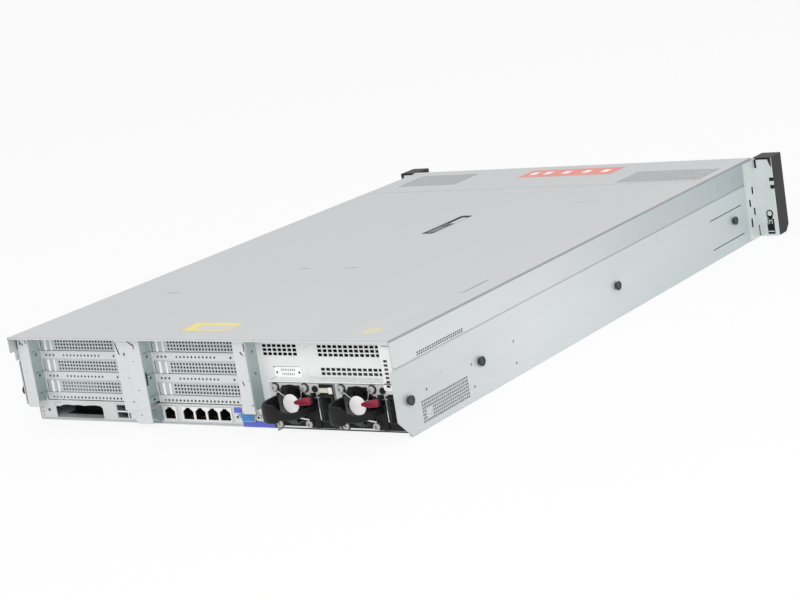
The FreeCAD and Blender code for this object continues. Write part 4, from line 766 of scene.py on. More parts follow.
def usb_shell(bm):
    """Four ports in one bright shell, with sprung lips at the edges."""
    face = USB[1].y
    middle = (USB[0].x + USB[1].x) / 2
    ports = [box_loop(middle + c * 7.0 - 6.3, middle + c * 7.0 + 6.3, z, z + 5.4) for c in (-1, 1)
             for z in (4.0, 10.9)]
    add_sheet(bm, "rear", face, face - 0.8, box_loop(USB[0].x, USB[1].x, 3.3, 17.0), ports)
    for side in (USB[0].x, middle - 0.35, USB[1].x - 0.5):
        add_block(bm, (side, side + 0.5), (USB[0].y, face - 0.8), (3.3, 17.0))
    for z in (3.3, 9.6, 16.5):
        add_block(bm, (USB[0].x, USB[1].x), (USB[0].y, face - 0.8), (z, z + 0.5))
    for c in (-1, 1):
        for z in (4.0, 10.9):
            for u in (-3.6, 2.0):
                x = middle + c * 7.0 + u
                add_prism(bm, "side", x, x + 1.6,
                          [(face - 0.6, z), (face - 6.0, z + 1.0), (face - 6.0, z + 0.8),
                           (face - 0.9, z - 0.2)])


def usb_tongues(bm):
    middle = (USB[0].x + USB[1].x) / 2
    for c in (-1, 1):
        for z in (4.0, 10.9):
            x = middle + c * 7.0
            add_block(bm, (x - 5.4, x + 5.4), (rear(-40.0), rear(-27.0)), (z + 3.1, z + 4.5))
            add_block(bm, (x - 6.2, x + 6.2), (rear(-41.0), rear(-40.0)), (z + 0.1, z + 5.3))


def d_outline(centre, z, upper, lower, half):
    return [(centre - upper, z + half), (centre + upper, z + half), (centre + lower, z - half),
            (centre - lower, z - half)]


def video_shell(bm):
    """The D-shaped metal shell, its flange and the two hexagonal jack posts."""
    centre, z, face = VIDEO_CENTRE, VIDEO_UP, PLATE - 0.6
    add_sheet(bm, "rear", face, face - 1.0, box_loop(VIDEO[0].x, VIDEO[1].x, 3.3, 17.0), [])
    add_sheet(bm, "rear", face + 3.6, face, d_outline(centre, z, 8.4, 7.2, 4.0),
              [d_outline(centre, z, 8.0, 6.9, 3.6)])
    for side in (-11.8, 11.8):
        add_prism(bm, "rear", face, face + 3.4, round_loop(centre + side, z, 2.3, 6))
        add_lathe(bm, "Y", (centre + side, face + 3.4, z), [(1.8, 0), (1.8, 0.01), (1.2, 0.02), (1.1, -0.9),
                                                            (0.02, -0.9)], 16)


def video_face(bm):
    centre, z, face = VIDEO_CENTRE, VIDEO_UP, PLATE - 0.6
    pins = [round_loop(centre + (i - 2) * 2.3 + shift, z + row, 0.45, 8)
            for row, shift in ((2.2, 0.0), (0.0, 1.1), (-2.2, 0.0)) for i in range(5)]
    add_sheet(bm, "rear", face + 3.9, face + 0.1, d_outline(centre, z, 7.9, 6.8, 3.5), pins)


def video_patches(bm):
    """Plain coloured plates beside and below the video socket."""
    add_prism(bm, "rear", PLATE - 0.5, PLATE - 0.2, box_loop(-29.6, -21.0, 12.6, 17.4))
    add_prism(bm, "rear", PLATE + 0.1, PLATE + 0.5, box_loop(-65.5, -29.6, 0.1, 5.2))


new_piece("io_plate", PORT_PLATE, "chassis", io_plate, ["io_panel"])
new_piece("opening_shade_sheet", BLACK, "chassis", opening_shade_sheet)
new_piece("io_post", PANEL, "chassis", io_post)
new_piece("io_gusset", INSIDE, "chassis", io_gusset)
for name, box, count in (("management", MANAGEMENT, 1), ("lan", LAN, 4)):
    node_name = "management_jack" if count == 1 else "lan_jack_block"
    new_piece(f"{name}_shield", SHIELD_BRIGHT, "chassis", lambda bm: lan_block(bm, box, count), [node_name])
    new_piece(f"{name}_liner", BLACK_HOLE, "chassis", lambda bm: jack_insides(bm, box, count))
    new_piece(f"{name}_contacts", GOLD, "chassis", lambda bm: jack_contacts(bm, box, count))
new_piece("usb_shell", SHIELD, "chassis", usb_shell, ["usb_connector_stack"])
new_piece("usb_tongues", BLACK, "chassis", usb_tongues)
new_piece("video_shell", SHIELD, "chassis", video_shell, ["video_connector"])
new_piece("video_face", BLUE, "chassis", video_face)
new_piece("port_colour_plates", VIOLET, "chassis", video_patches)

# ---------------------------------------------------------------- vent wall over the supplies

VENT = corners("vent_panel")
STEP = -199.8
BLANK = corners("serial_port_blank")


def vent_wall(bm):
    up = (VENT[0].z, VENT[1].z)
    holes = grid_of(-100.4, -67.7, 7, 68.0, 75.4, 3, 4.2, 2.6)
    holes += grid_of(-188.3, -127.4, 12, 67.6, 75.1, 3, 4.2, 2.6)
    holes += grid_of(-188.6, -127.8, 12, 50.9, 54.8, 2, 4.2, 2.6)
    add_sheet(bm, "rear", PLATE, PLATE - 0.7, box_loop(STEP, VENT[1].x, *up), holes)
    add_sheet(bm, "side", STEP - 1.0, STEP, box_loop(PLATE - 1.0, FLANGE - 0.7, *up))
    column = grid_of(-204.7, -204.7, 1, 49.0, 67.1, 6, 3.9, 2.2)
    column.append(box_loop(-210.5, -202.5, 79.9, 80.4))
    add_sheet(bm, "rear", PLATE, PLATE - 0.7, box_loop(-76.1, VENT[1].x, 19.3, up[0]))
    add_sheet(bm, "rear", FLANGE, FLANGE - 0.7, box_loop(VENT[0].x, STEP, *up), column)
    for u, v in ((-113.3, 72.1), (-114.0, 52.1)):
        add_lathe(bm, "Y", (u, PLATE, v), [(3.0, 0.0), (2.4, 0.35), (1.2, 0.5), (0.02, 0.5)])
    add_prism(bm, "rear", PLATE, PLATE + 0.3, soft_loop(-92.0, -88.0, 60.2, 61.0, 0.35))


def vent_lip(bm):
    """The folded lip under the vent wall, over the tops of the supplies, in near-white steel as painted
    light.
    """
    add_sheet(bm, "top", VENT[0].z - 0.1, VENT[0].z - 0.8, box_loop(STEP, -77.4, PLATE - 0.6, FLANGE - 0.2))


def serial_plate(bm):
    low, high = [corner - Vector((1.5, 0, 1.2)) for corner in BLANK]
    slots = [soft_loop(u - 0.5, u + 0.5, v - 1.1, v + 1.1, 0.45, 2)
             for v, first, count in ((53.9, -97.2, 8), (50.1, -96.2, 7))
             for u in [first + 2.0 * i for i in range(count)]]
    slots += [round_loop(u, 51.5, 1.15, 12) for u in (-78.0, -102.2)]
    outline = [(low.x + 1.6, low.z), (high.x - 0.8, low.z), (high.x, low.z + 0.8), (high.x, high.z - 1.2),
               (high.x - 1.2, high.z), (low.x + 2.2, high.z), (low.x, high.z - 2.4), (low.x, low.z + 1.6)]
    add_sheet(bm, "rear", PLATE + 0.7, PLATE + 0.1, outline, slots)


# A black block of painted shade close behind the serial plate, so its slots and holes read dark.
def serial_slot_shade(bm):
    add_block(bm, (BLANK[0].x + 1.0, BLANK[1].x - 1.0), (PLATE - 0.05, PLATE + 0.15),
              (BLANK[0].z + 1, BLANK[1].z - 1))


new_piece("vent_lip", LIP_SHEET, "chassis", vent_lip)
new_piece("vent_wall", VENT_SHEET, "chassis", vent_wall, ["vent_panel"])
new_piece("serial_plate", LIP_SHEET, "chassis", serial_plate, ["serial_port_blank"])
new_piece("serial_slot_shade", BLACK_HOLE, "chassis", serial_slot_shade)

# ---------------------------------------------------------------- power supplies

PSU_LEFTS = [corners(f"psu_{number}_case")[1].x for number in (1, 2)]
FAN_ACROSS = 22.7
FAN_UP = 26.3
SCREW_REACH = 16.0


def add_wire(bm, start, end, radius=0.45, segments=8):
    """A straight round wire between two points."""
    a, b = Vector(start), Vector(end)
    turn = (b - a).to_track_quat("Z", "Y").to_matrix()
    rings = []
    for spot in (a, b):
        rings.append([bm.verts.new(spot + turn @ Vector((radius * math.cos(2 * math.pi * i / segments),
                                                         radius * math.sin(2 * math.pi * i / segments), 0)))
                      for i in range(segments)])
    for i in range(segments):
        bm.faces.new((rings[0][i], rings[0][(i + 1) % segments], rings[1][(i + 1) % segments], rings[1][i]))
    bm.faces.new(list(reversed(rings[0])))
    bm.faces.new(rings[1])


def add_soft_prism(bm, plane, low, high, outline, soft):
    """A prism with whole faces and rounded edges, for moulded plastic."""
    put = PLANES[plane]
    near_loop = [bm.verts.new(put(u, v, low)) for u, v in outline]
    far_loop = [bm.verts.new(put(u, v, high)) for u, v in outline]
    faces = [bm.faces.new(near_loop), bm.faces.new(list(reversed(far_loop)))]
    count = len(outline)
    for i in range(count):
        j = (i + 1) % count
        faces.append(bm.faces.new((near_loop[j], near_loop[i], far_loop[i], far_loop[j])))
    bmesh.ops.recalc_face_normals(bm, faces=faces)
    edges = list({edge for face in faces for edge in face.edges})
    bmesh.ops.bevel(bm, geom=edges, offset=soft, segments=2, profile=0.6, affect="EDGES")


def supply_screws(bm, left):
    for u in (-SCREW_REACH, SCREW_REACH):
        for v in (-SCREW_REACH, SCREW_REACH):
            add_lathe(bm, "Y", (left - FAN_ACROSS + u, FLANGE, FAN_UP + v),
                      [(3.5, 0.3), (3.5, 2.6), (3.0, 3.2), (1.5, 3.3), (1.2, 2.0), (0.02, 1.9)], 20)


def supply_washers(bm, left):
    for u in (-SCREW_REACH, SCREW_REACH):
        centre = (left - FAN_ACROSS + u, FLANGE, FAN_UP + SCREW_REACH)
        add_lathe(bm, "Y", centre, [(4.3, 0.0), (4.3, 0.35), (3.4, 0.4), (3.4, 0.0)], 20)
    add_lathe(bm, "Y", (left - 49.4, FLANGE, 41.4),
              [(3.0, 0.2), (2.9, 1.0), (2.0, 1.3), (1.1, 0.9), (0.02, 0.9)])
    for z in (42.9, 37.4):
        add_prism(bm, "rear", FLANGE, FLANGE + 0.6, box_loop(left - 63.8, left - 54.0, z, z + 0.9))
    add_soft_prism(bm, "rear", FLANGE, FLANGE + 1.6, box_loop(left - 51.0, left - 45.0, 6.6, 27.6), 0.5)


def fan_opening(left):
    """The round opening of the fan, cut off square where the frame crosses it."""
    loop = []
    for i in range(48):
        turn = 2 * math.pi * i / 48
        u, v = FAN_ACROSS - 17.6 * math.cos(turn), FAN_UP + 17.6 * math.sin(turn)
        u = min(max(u, 7.6), 40.4)
        if v > 37.0:
            u = min(max(u, 14.4), 32.4)
        loop.append((left - u, min(v, 43.2)))
    return loop


def supply_mask(bm, left):
    """The dark moulded face, let into the bright frame around the fan's upper screws."""
    outline = [(0.4, 6.5), (0.4, 21.0), (6.3, 21.0), (6.3, 35.6), (8.0, 37.6), (12.2, 37.6), (13.4, 38.8),
               (13.4, 43.2), (14.4, 44.2), (32.4, 44.2), (33.4, 43.2), (33.4, 38.4), (36.5, 36.8),
               (41.4, 36.0), (41.6, 33.6), (53.8, 33.6), (53.8, 46.0), (68.7, 46.0), (68.7, 6.5)]
    inlet = box_loop(left - 67.6, left - 51.0, 11.0, 36.4)
    latch = box_loop(left - 49.5, left - 43.1, 27.8, 33.2)
    add_sheet(bm, "rear", FLANGE + 0.35, FLANGE, [(left - u, v) for u, v in outline],
              [fan_opening(left), inlet, latch])


def supply_guard(bm, left):
    """Wire arms of the finger guard that run from the upper screws to the centre plate."""
    y = FLANGE + 1.2
    add_wire(bm, (left - 8.6, y, 39.6), (left - 16.8, y, 34.0), 0.5)
    add_wire(bm, (left - 35.2, y, 39.4), (left - 33.6, y, 33.4), 0.5)
    add_wire(bm, (left - 33.6, y, 33.4), (left - 29.0, y, 31.0), 0.5)


def supply_hub(bm, left):
    """The pale round centre plate of the guard."""
    add_lathe(bm, "Y", (left - 21.6, FLANGE, 27.9),
              [(0.02, 0.2), (8.4, 0.2), (8.6, 0.9), (8.2, 1.5), (7.0, 1.8), (0.02, 2.0)], 32)


def supply_face_trim(bm, left):
    """Bright parts of the face: a lower lip, a thin rib, a block and a triangular frame."""
    y = FLANGE
    add_prism(bm, "rear", y + 0.3, y + 1.0, soft_loop(left - 39.7, left - 10.0, 6.5, 7.9, 0.5))
    add_prism(bm, "rear", y + 0.3, y + 1.1, box_loop(left - 51.9, left - 51.1, 14.0, 36.6))
    add_prism(bm, "rear", y + 0.3, y + 1.0,
              [(left - 38.7, 13.2), (left - 26.7, 14.9), (left - 26.7, 16.0), (left - 38.7, 14.4)])
    corner = [(left - 39.9, 7.8), (left - 34.8, 7.8), (left - 37.4, 13.0)]
    hole = [(left - 38.6, 8.7), (left - 36.2, 8.7), (left - 37.4, 11.2)]
    add_sheet(bm, "rear", y + 0.9, y + 0.3, corner, [hole])
    add_prism(bm, "rear", y + 0.3, y + 1.2, box_loop(left - 68.0, left - 63.9, 37.6, 43.3))
    add_prism(bm, "rear", y + 0.3, y + 1.6, box_loop(left - 53.7, left - 41.8, 33.8, 34.6))


def supply_strip(bm, left):
    add_prism(bm, "rear", FLANGE + 0.3, FLANGE + 0.8, box_loop(left - 63.4, left - 54.2, 38.5, 42.6))


def supply_latch(bm, left):
    """The ribbed release tab: a tapered tongue."""
    face = FLANGE
    tongue = [(left - 30.6, 29.9), (left - 30.6, 32.4), (left - 35.0, 34.0), (left - 42.0, 35.6),
              (left - 47.4, 36.2), (left - 48.4, 35.4), (left - 48.4, 30.4), (left - 46.8, 29.0),
              (left - 38.0, 28.8)]
    add_soft_prism(bm, "rear", face + 5.0, face + 8.4, tongue, 0.7)
    for i in range(5):
        u = left - 33.5 - 2.2 * i
        add_soft_prism(bm, "rear", face + 8.0, face + 9.0, box_loop(u - 0.5, u + 0.5, 30.4, 33.2), 0.3)


def supply_latch_arm(bm, left):
    add_soft_prism(bm, "rear", FLANGE - 14.0, FLANGE + 5.4, box_loop(left - 48.6, left - 45.2, 28.8, 36.8),
                   0.5)


# Across, out from the face, height and half height along the pull strap, as it was moulded.
STRAP = ((4.6, 0.0, 25.4, 9.0), (4.6, 12.0, 25.4, 8.8), (5.4, 17.0, 25.3, 8.6), (8.0, 21.0, 25.2, 8.5),
         (12.5, 23.0, 25.2, 8.4), (20.0, 23.4, 25.0, 8.2), (22.6, 23.4, 24.4, 6.4), (24.8, 23.2, 23.8, 3.9),
         (33.0, 22.8, 23.4, 3.2), (38.0, 21.6, 23.4, 3.1), (41.6, 18.4, 23.8, 3.0), (44.2, 12.0, 24.4, 2.9),
         (45.6, 5.0, 24.9, 2.9), (46.2, 0.0, 25.1, 3.1))


def supply_handle(bm, left):
    """A moulded strap bent into a loop: a tall grip on one side, narrow where it returns to the face."""
    path = [(Vector((left - across, FLANGE + out, up)), half) for across, out, up, half in STRAP]
    thick = 2.5
    rings = []
    for i, (spot, half) in enumerate(path):
        ahead = path[min(i + 1, len(path) - 1)][0] - path[max(i - 1, 0)][0]
        across = Vector((ahead.y, -ahead.x, 0)).normalized()
        ring = []
        for k in range(20):
            turn = 2 * math.pi * k / 20
            flat, tall = math.cos(turn), math.sin(turn)
            offset = across * (thick * math.copysign(abs(flat) ** 0.55, flat))
            offset.z = half * math.copysign(abs(tall) ** 0.55, tall)
            ring.append(bm.verts.new(spot + offset))
        rings.append(ring)
    for lower, upper in zip(rings, rings[1:]):
        for k in range(20):
            bm.faces.new((lower[k], lower[(k + 1) % 20], upper[(k + 1) % 20], upper[k]))
    bm.faces.new(rings[0])
    bm.faces.new(list(reversed(rings[-1])))


def inlet_liner(bm, left):
    """Moulded lining of the appliance inlet, with grip ribs down its far wall."""
    low, high = left - 66.4, left - 52.2
    y = FLANGE
    outer = box_loop(low, high, 12.4, 35.0)
    mouth = soft_loop(low + 0.5, high - 0.5, 12.9, 34.5, 1.2)
    add_sheet(bm, "rear", y + 0.5, y - 16.0, outer, [mouth])
    for i in range(5):
        back = y - 1.4 - 2.6 * i
        add_block(bm, (high - 1.3, high - 0.5), (back - 0.6, back + 0.6), (13.6, 33.8))


for number, left in enumerate(PSU_LEFTS, 1):
    supply = f"power_supply_{number}"
    name = f"supply_{number}"
    new_piece(name + "_screws", SCREW, supply, lambda bm: supply_screws(bm, left),
              smooth=True)
    new_piece(name + "_washers", BLACK, supply, lambda bm: supply_washers(bm, left),
              smooth=True)
    new_piece(name + "_mask", BLACK, supply, lambda bm: supply_mask(bm, left))
    new_piece(name + "_guard", BRIGHT, supply, lambda bm: supply_guard(bm, left),
              smooth=True)
    new_piece(name + "_hub_plate", WHITE, supply, lambda bm: supply_hub(bm, left),
              smooth=True)
    new_piece(name + "_trim", BRIGHT, supply, lambda bm: supply_face_trim(bm, left))
    new_piece(name + "_strip", BEIGE, supply, lambda bm: supply_strip(bm, left))
    new_piece(name + "_inlet_liner", CHARCOAL, supply, lambda bm: inlet_liner(bm, left))
    new_piece(name + "_handle", BLACK, supply, lambda bm: supply_handle(bm, left), [f"psu_{number}_handle"],
              True)
    new_piece(name + "_latch_arm", BLACK, f"supply_latch_{number}", lambda bm: supply_latch_arm(bm, left))
    new_piece(name + "_latch", MAROON, f"supply_latch_{number}", lambda bm: supply_latch(bm, left),
              [f"psu_{number}_latch"], True)


def column_foot(bm):
    """The lowest hole of the edge column, on a plate fixed to the outer supply."""
    add_sheet(bm, "rear", FLANGE + 0.9, FLANGE + 0.2, soft_loop(-209.0, STEP, 41.6, 46.8, 1.0),
              grid_of(-204.9, -204.9, 1, 45.4, 45.4, 1, 3.9, 2.2))


def shelf_edge_shade(bm):
    """Painted shade along the edge of the shelf under both supplies, as a dark plate."""
    add_sheet(bm, "rear", PLATE + 0.6, PLATE + 0.1, box_loop(-216.6, -66.0, 0.1, 5.6))


new_piece("column_foot", VENT_SHEET, "power_supply_2", column_foot)
new_piece("shelf_edge_shade", DARK_STEEL, "chassis", shelf_edge_shade)

# ---------------------------------------------------------------- cover latch, labels and small marks

LATCH_LOW = corners("cover_latch_base")[0]
LATCH_PIN_SPAN = 11.0


def latch_frame(bm):
    """The moulded rim and floor of the latch recess."""
    rim = soft_loop(-12.7, 1.3, rear(-462.7), rear(-383.3), 2.8)
    well = soft_loop(-11.6, 0.2, rear(-461.6), rear(-384.4), 2.2)
    add_sheet(bm, "top", TOP - 0.15, LATCH_LOW.z + 1.1, rim, [well])
    add_sheet(bm, "top", LATCH_LOW.z + 1.1, LATCH_LOW.z, box_loop(-15.4, 4.0, rear(-465.9), rear(-380.1)))


def latch_lock(bm):
    """The raised middle of the recess with its turn lock."""
    add_soft_prism(bm, "top", TOP - 9.6, TOP - 1.2, box_loop(-10.9, -0.5, rear(-460.6), rear(-433.0)), 0.8)
    add_lathe(bm, "Z", (-5.7, rear(-446.5), TOP - 1.2),
              [(2.9, 0), (2.7, 0.5), (1.2, 0.5), (1.0, -0.2), (0.02, -0.2)])


def latch_lever(bm):
    """The flap that is lifted, with finger ribs near its free end."""
    plate = soft_loop(-11.2, -0.2, rear(-430.0), rear(-390.8), 1.4)
    add_sheet(bm, "top", TOP - 0.4, TOP - 2.8, plate)
    for i in range(4):
        y = rear(-426.0 + 3.0 * i)
        add_soft_prism(bm, "top", TOP - 0.5, TOP - 0.05, box_loop(-9.8, -1.6, y - 0.5, y + 0.5), 0.15)
    barrel = [(3.1, 0), (3.1, LATCH_PIN_SPAN)]
    add_lathe(bm, "X", (-11.2, rear(-389.0), 83.6), barrel, 20)


new_piece("latch_frame", CHARCOAL, "service_cover", latch_frame, ["cover_latch_base"])
new_piece("latch_lock", COVER_BRIGHT, "service_cover", latch_lock)
new_piece("latch_lever", LEVER_GREY, "cover_lever", latch_lever, ["cover_latch_lever"])


def flat_label(name, material, body, outline, holes=(), lift=0.12):
    """A thin label that lies on a cover."""
    new_piece(name, material, body, lambda bm: add_sheet(bm, "top", TOP + lift, TOP, outline, holes))


frame_out = [(26.0, rear(-26.5)), (-26.0, rear(-26.5)), (-26.0, rear(-52.0)), (29.0, rear(-52.0))]
frame_in = [(14.0, rear(-29.0)), (-23.5, rear(-29.0)), (-23.5, rear(-42.8)), (14.0, rear(-42.8))]
flat_label("service_label_border", YELLOW, "service_cover", frame_out, [frame_in])
flat_label("service_label_field", PALE, "service_cover", frame_in, lift=0.1)
flat_label("small_label", YELLOW, "service_cover", box_loop(-188.0, -175.2, rear(-36.9), rear(-21.8)),
           [box_loop(-186.4, -176.8, rear(-34.6), rear(-24.0))])
flat_label("small_label_field", PALE, "service_cover", box_loop(-186.4, -176.8, rear(-34.6), rear(-24.0)),
           lift=0.1)
flat_label("coral_label", CORAL, "chassis", box_loop(-75.0, 44.3, rear(-686.0), rear(-650.5)),
           [box_loop(x, x + 9.0, rear(-676.0), rear(-662.0)) for x in (-64.0, -40.0, -14.0, 10.0, 28.0)])
flat_label("coral_label_fields", WHITE, "chassis", box_loop(-66.0, 40.0, rear(-678.0), rear(-660.0)),
           lift=0.05)
flat_label("pale_label", PALE, "service_cover", box_loop(-19.0, 17.0, rear(-581.0), rear(-571.0)))


def lid_marks(bm):
    """A short raised bead in front of the latch."""
    add_prism(bm, "top", TOP, TOP + 0.25, soft_loop(-137.0, -108.0, rear(-511.0), rear(-509.6), 0.6))


def skirt_marks(bm):
    """Two short raised beads on each skirt near the front."""
    for side in (1, -1):
        for back, z in ((619.1, 75.2), (655.0, 74.0)):
            add_prism(bm, "side", side * HALF, side * (HALF + 0.35),
                      soft_loop(rear(-back) - 1.6, rear(-back) + 1.6, z - 3.0, z + 3.0, 1.4))


new_piece("lid_marks", COVER, "service_cover", lid_marks, smooth=True)
new_piece("skirt_marks", SKIRT_SHEET, "chassis", skirt_marks, smooth=True)


EAR_SLOTS = ((11.0, 50.0, 57.0), (20.0, 38.0, 45.0), (11.0, 27.0, 34.0), (20.0, 15.6, 24.0))
EAR_SCREW = (14.0, 25.3)
EAR_LEG = 2.0


def ear_span(side, low, high):
    """X range between two distances out from the side wall."""
    return sorted((side * (HALF + low), side * (HALF + high)))


def ear_patch(bm, side, loops, proud):
    """Thin patches on the rear face of an ear, given as distances out and heights."""
    for low, high, low_z, high_z in loops:
        add_sheet(bm, "rear", FRONT_EDGE + proud, FRONT_EDGE,
                  box_loop(*ear_span(side, low, high), low_z, high_z))


def ear_trim(bm, side):
    """Pale details of the ear: the screw's middle, small bosses and the contacts in its dark bay."""
    add_lathe(bm, "Y", (side * (HALF + EAR_SCREW[0]), FRONT_EDGE, EAR_SCREW[1]),
              [(2.6, 0), (2.6, 0.7), (1.0, 0.8), (0.7, 0.4), (0.02, 0.4)])
    for across, z in ((7.0, 56.0), (7.5, 44.0), (8.5, 35.0), (12.5, 49.0)):
        add_lathe(bm, "Y", (side * (HALF + across), FRONT_EDGE, z), [(1.7, 0), (1.3, 0.4), (0.02, 0.5)], 14)
    ear_patch(bm, side,
              [(10.4, 17.4, 4.9, 6.0), (10.4, 11.2, 13.4, 18.8), (12.6, 13.3, 14.0, 18.2),
               (13.3, 16.2, 17.2, 18.2), (15.5, 16.2, 13.6, 17.2), (17.4, 20.4, 57.6, 61.0)], 0.75)


def ear_shadow(bm, side):
    """Painted shade on the ear, as dark patches: gaps round its bracket, its screw's ring, its connector bay
    and its slots.
    """
    add_lathe(bm, "Y", (side * (HALF + EAR_SCREW[0]), FRONT_EDGE, EAR_SCREW[1]),
              [(3.8, 0.0), (3.8, 0.6), (2.7, 0.7), (2.7, 0.0)])
    ear_patch(bm, side, [(2.6, 4.6, 76.0, 85.4), (4.6, 20.4, 84.9, 86.6), (9.9, 18.0, 2.6, 19.2)], 0.4)
    for low, high, low_z, high_z in ((2.6, 22.2, 86.5, 87.0), (18.2, 22.25, 61.0, 64.6),
                                     (18.6, 22.25, 52.6, 56.4)):
        add_block(bm, ear_span(side, low, high), (FRONT_EDGE - 2.0, FRONT_EDGE + 0.4), (low_z, high_z))
    face = side * (HALF + EAR_LEG)
    for back, low, high in EAR_SLOTS:
        y = FRONT_EDGE + back
        add_sheet(bm, "side", face + side * 0.15, face,
                  soft_loop(y - 1.7, y + 1.7, low - 0.5, high + 0.5, 1.0))
    y = FRONT_EDGE + 4.2
    add_sheet(bm, "side", face + side * 0.15, face, box_loop(y - 1.0, y + 1.0, 2.2, 13.8))


def ear_lips(bm, side):
    """Turned lips beside the slots of the leg, bright with painted highlight."""
    face = side * (HALF + EAR_LEG)
    for back, low, high in EAR_SLOTS:
        y = FRONT_EDGE + back - 2.6
        add_prism(bm, "side", face, face + side * 0.5,
                  soft_loop(y - 0.6, y + 0.6, low - 0.5, high + 0.5, 0.5))


def ear_corner(bm, side):
    """The plastic cover wraps round the bracket's top outer corner."""
    outer = corners("ear_cover_left")[1].x
    loop = [(side * (outer - 0.02), 86.8), (side * (outer - 4.4), 86.8), (side * (outer - 2.4), 80.0),
            (side * (outer - 0.02), 76.0)]
    add_sheet(bm, "rear", FRONT_EDGE + 0.5, FRONT_EDGE, loop if side < 0 else loop[::-1])


for side, label in ((1, "left"), (-1, "right")):
    new_piece(f"ear_trim_{label}", EAR_SHEET, "chassis", lambda bm: ear_trim(bm, side),
              smooth=True)
    new_piece(f"ear_lips_{label}", RIB_HIGHLIGHT, "chassis", lambda bm: ear_lips(bm, side))
    new_piece(f"ear_shadow_{label}", BLACK, "chassis", lambda bm: ear_shadow(bm, side))
    new_piece(f"ear_corner_{label}", EAR, "chassis", lambda bm: ear_corner(bm, side))

# ---------------------------------------------------------------- drive bays and ears from the front

BAY_FRONT = corners("drive_blanks")[0].y
CAGE_FRONT = corners("drive_cage")[0].y
BAY_PITCH = 108.0
ROW = 28.0
BAY_WIDE = 106.6
BAY_TALL = 27.2
BACK_SET = 2.0
# The two left bays of the top row hold carriers, and the others hold blanks.
BAYS = [(column, row) for column in range(4) for row in range(3)]
BLANK_BAYS = [(column, row) for column, row in BAYS if row < 2 or column > 1]


def bay(column, row):
    """Low corner of a bay's opening."""
    return BAY_PITCH * (column - 2) + 0.7, TRAY_GAUGE + ROW * row + 0.4


def honeycomb(u0, u1, v0, v1, pitch, radius):
    """Hexagonal holes in offset rows."""
    loops = []
    row, v = 0, v0 + radius
    while v <= v1 - radius:
        u = u0 + radius + (pitch / 2 if row % 2 else 0)
        while u <= u1 - radius:
            loops.append([(u + radius * math.sin(math.pi * k / 3), v + radius * math.cos(math.pi * k / 3))
                          for k in range(6)])
            u += pitch
        row, v = row + 1, v + pitch * 0.866
    return loops


def blank_fronts(bm):
    """Blank faces: a perforated field, a finger pull and a raised rim."""
    face = BAY_FRONT
    for column, row in BLANK_BAYS:
        x, z = bay(column, row)
        outline = soft_loop(x + 0.3, x + BAY_WIDE - 0.3, z + 0.2, z + BAY_TALL - 0.4, 1.2)
        inner = box_loop(x + 2.0, x + BAY_WIDE - 2.0, z + 1.8, z + BAY_TALL - 2.2)
        pull = soft_loop(x + 36.0, x + 70.0, z + 7.0, z + 20.0, 2.0)
        pull_inner = soft_loop(x + 37.2, x + 68.8, z + 8.2, z + 18.8, 1.4)
        holes = honeycomb(x + 4.0, x + 33.0, z + 4.0, z + 23.4, 4.6, 1.9)
        holes += honeycomb(x + 73.0, x + 102.6, z + 4.0, z + 23.4, 4.6, 1.9)
        add_sheet(bm, "rear", face + 1.6, face, outline, [pull] + holes)
        add_sheet(bm, "rear", face + 1.6, face + 12.0, outline, [inner])
        add_sheet(bm, "rear", face + 11.0, face + 12.0, inner)
        add_sheet(bm, "rear", face + 8.0, face + 1.6, pull, [pull_inner])
        add_sheet(bm, "rear", face + 9.0, face + 8.0, pull)


def carrier_front(bm, x, z):
    """A carrier face: grille beside the lever, pivot lugs and two side rails."""
    face = BAY_FRONT
    wide, tall = BAY_WIDE, BAY_TALL
    outline = soft_loop(x + 0.3, x + wide - 0.3, z + 0.3, z + tall - 0.3, 1.0)
    holes = honeycomb(x + 62.0, x + 95.0, z + 3.6, z + tall - 3.6, 3.8, 1.55)
    add_sheet(bm, "rear", face + 1.4, face, outline, holes)
    ring = [box_loop(x + 58.0, x + 98.0, z + 2.6, z + tall - 2.6)]
    add_sheet(bm, "rear", face + 12.0 + BACK_SET, face + 1.4, outline, ring)
    for low, high in ((x + 0.3, x + 2.5), (x + 104.1, x + 106.3)):
        add_block(bm, (low, high), (face + 14.0, face + 162.0), (z + 0.3, z + tall - 0.3))
    middle = z + tall / 2
    for low, high in ((middle + 7.2, middle + 10.2), (middle - 10.2, middle - 7.2)):
        add_soft_prism(bm, "top", low, high, box_loop(x + 8.0, x + 16.0, CAGE_FRONT - 9.0, face), 0.6)


def carrier_lever(bm, x, z):
    """The ejector lever: a tapered bar with a long finger slot and a bevelled tip."""
    middle = z + 13.6
    outline = [(x + 9.6, middle - 6.6), (x + 88.0, middle - 6.6), (x + 93.6, middle - 4.0),
               (x + 93.6, middle + 4.0), (x + 88.0, middle + 6.6), (x + 9.6, middle + 6.6)]
    add_sheet(bm, "rear", CAGE_FRONT - 4.4, CAGE_FRONT - 8.0, outline,
              [soft_loop(x + 24.0, x + 72.0, middle - 3.4, middle + 3.4, 1.6)])
    add_lathe(bm, "Z", (x + 12.0, CAGE_FRONT - 6.0, middle), [(1.5, -10.2), (1.5, 10.2)], 16)
    for i in range(4):
        u = x + 78.0 + 2.6 * i
        add_soft_prism(bm, "rear", CAGE_FRONT - 8.6, CAGE_FRONT - 7.8,
                       box_loop(u - 0.6, u + 0.6, middle - 4.6, middle + 4.6), 0.2)


def bay_frame(bm):
    """The cage's folded front edges between the bays."""
    low, high = corners("drive_cage")
    openings = []
    for column, row in BAYS:
        x, z = bay(column, row)
        openings.append(box_loop(x, x + BAY_WIDE, z, z + BAY_TALL))
    add_sheet(bm, "rear", CAGE_FRONT + 0.02, CAGE_FRONT - 0.3, box_loop(low.x, high.x, low.z, high.z),
              openings)


def bay_marks(bm):
    """A small plain number pad on each blank."""
    for column, row in BLANK_BAYS:
        x, z = bay(column, row)
        add_prism(bm, "rear", BAY_FRONT, BAY_FRONT - 0.25,
                  soft_loop(x + 42.0, x + 47.0, z + 21.6, z + 24.2, 0.6))


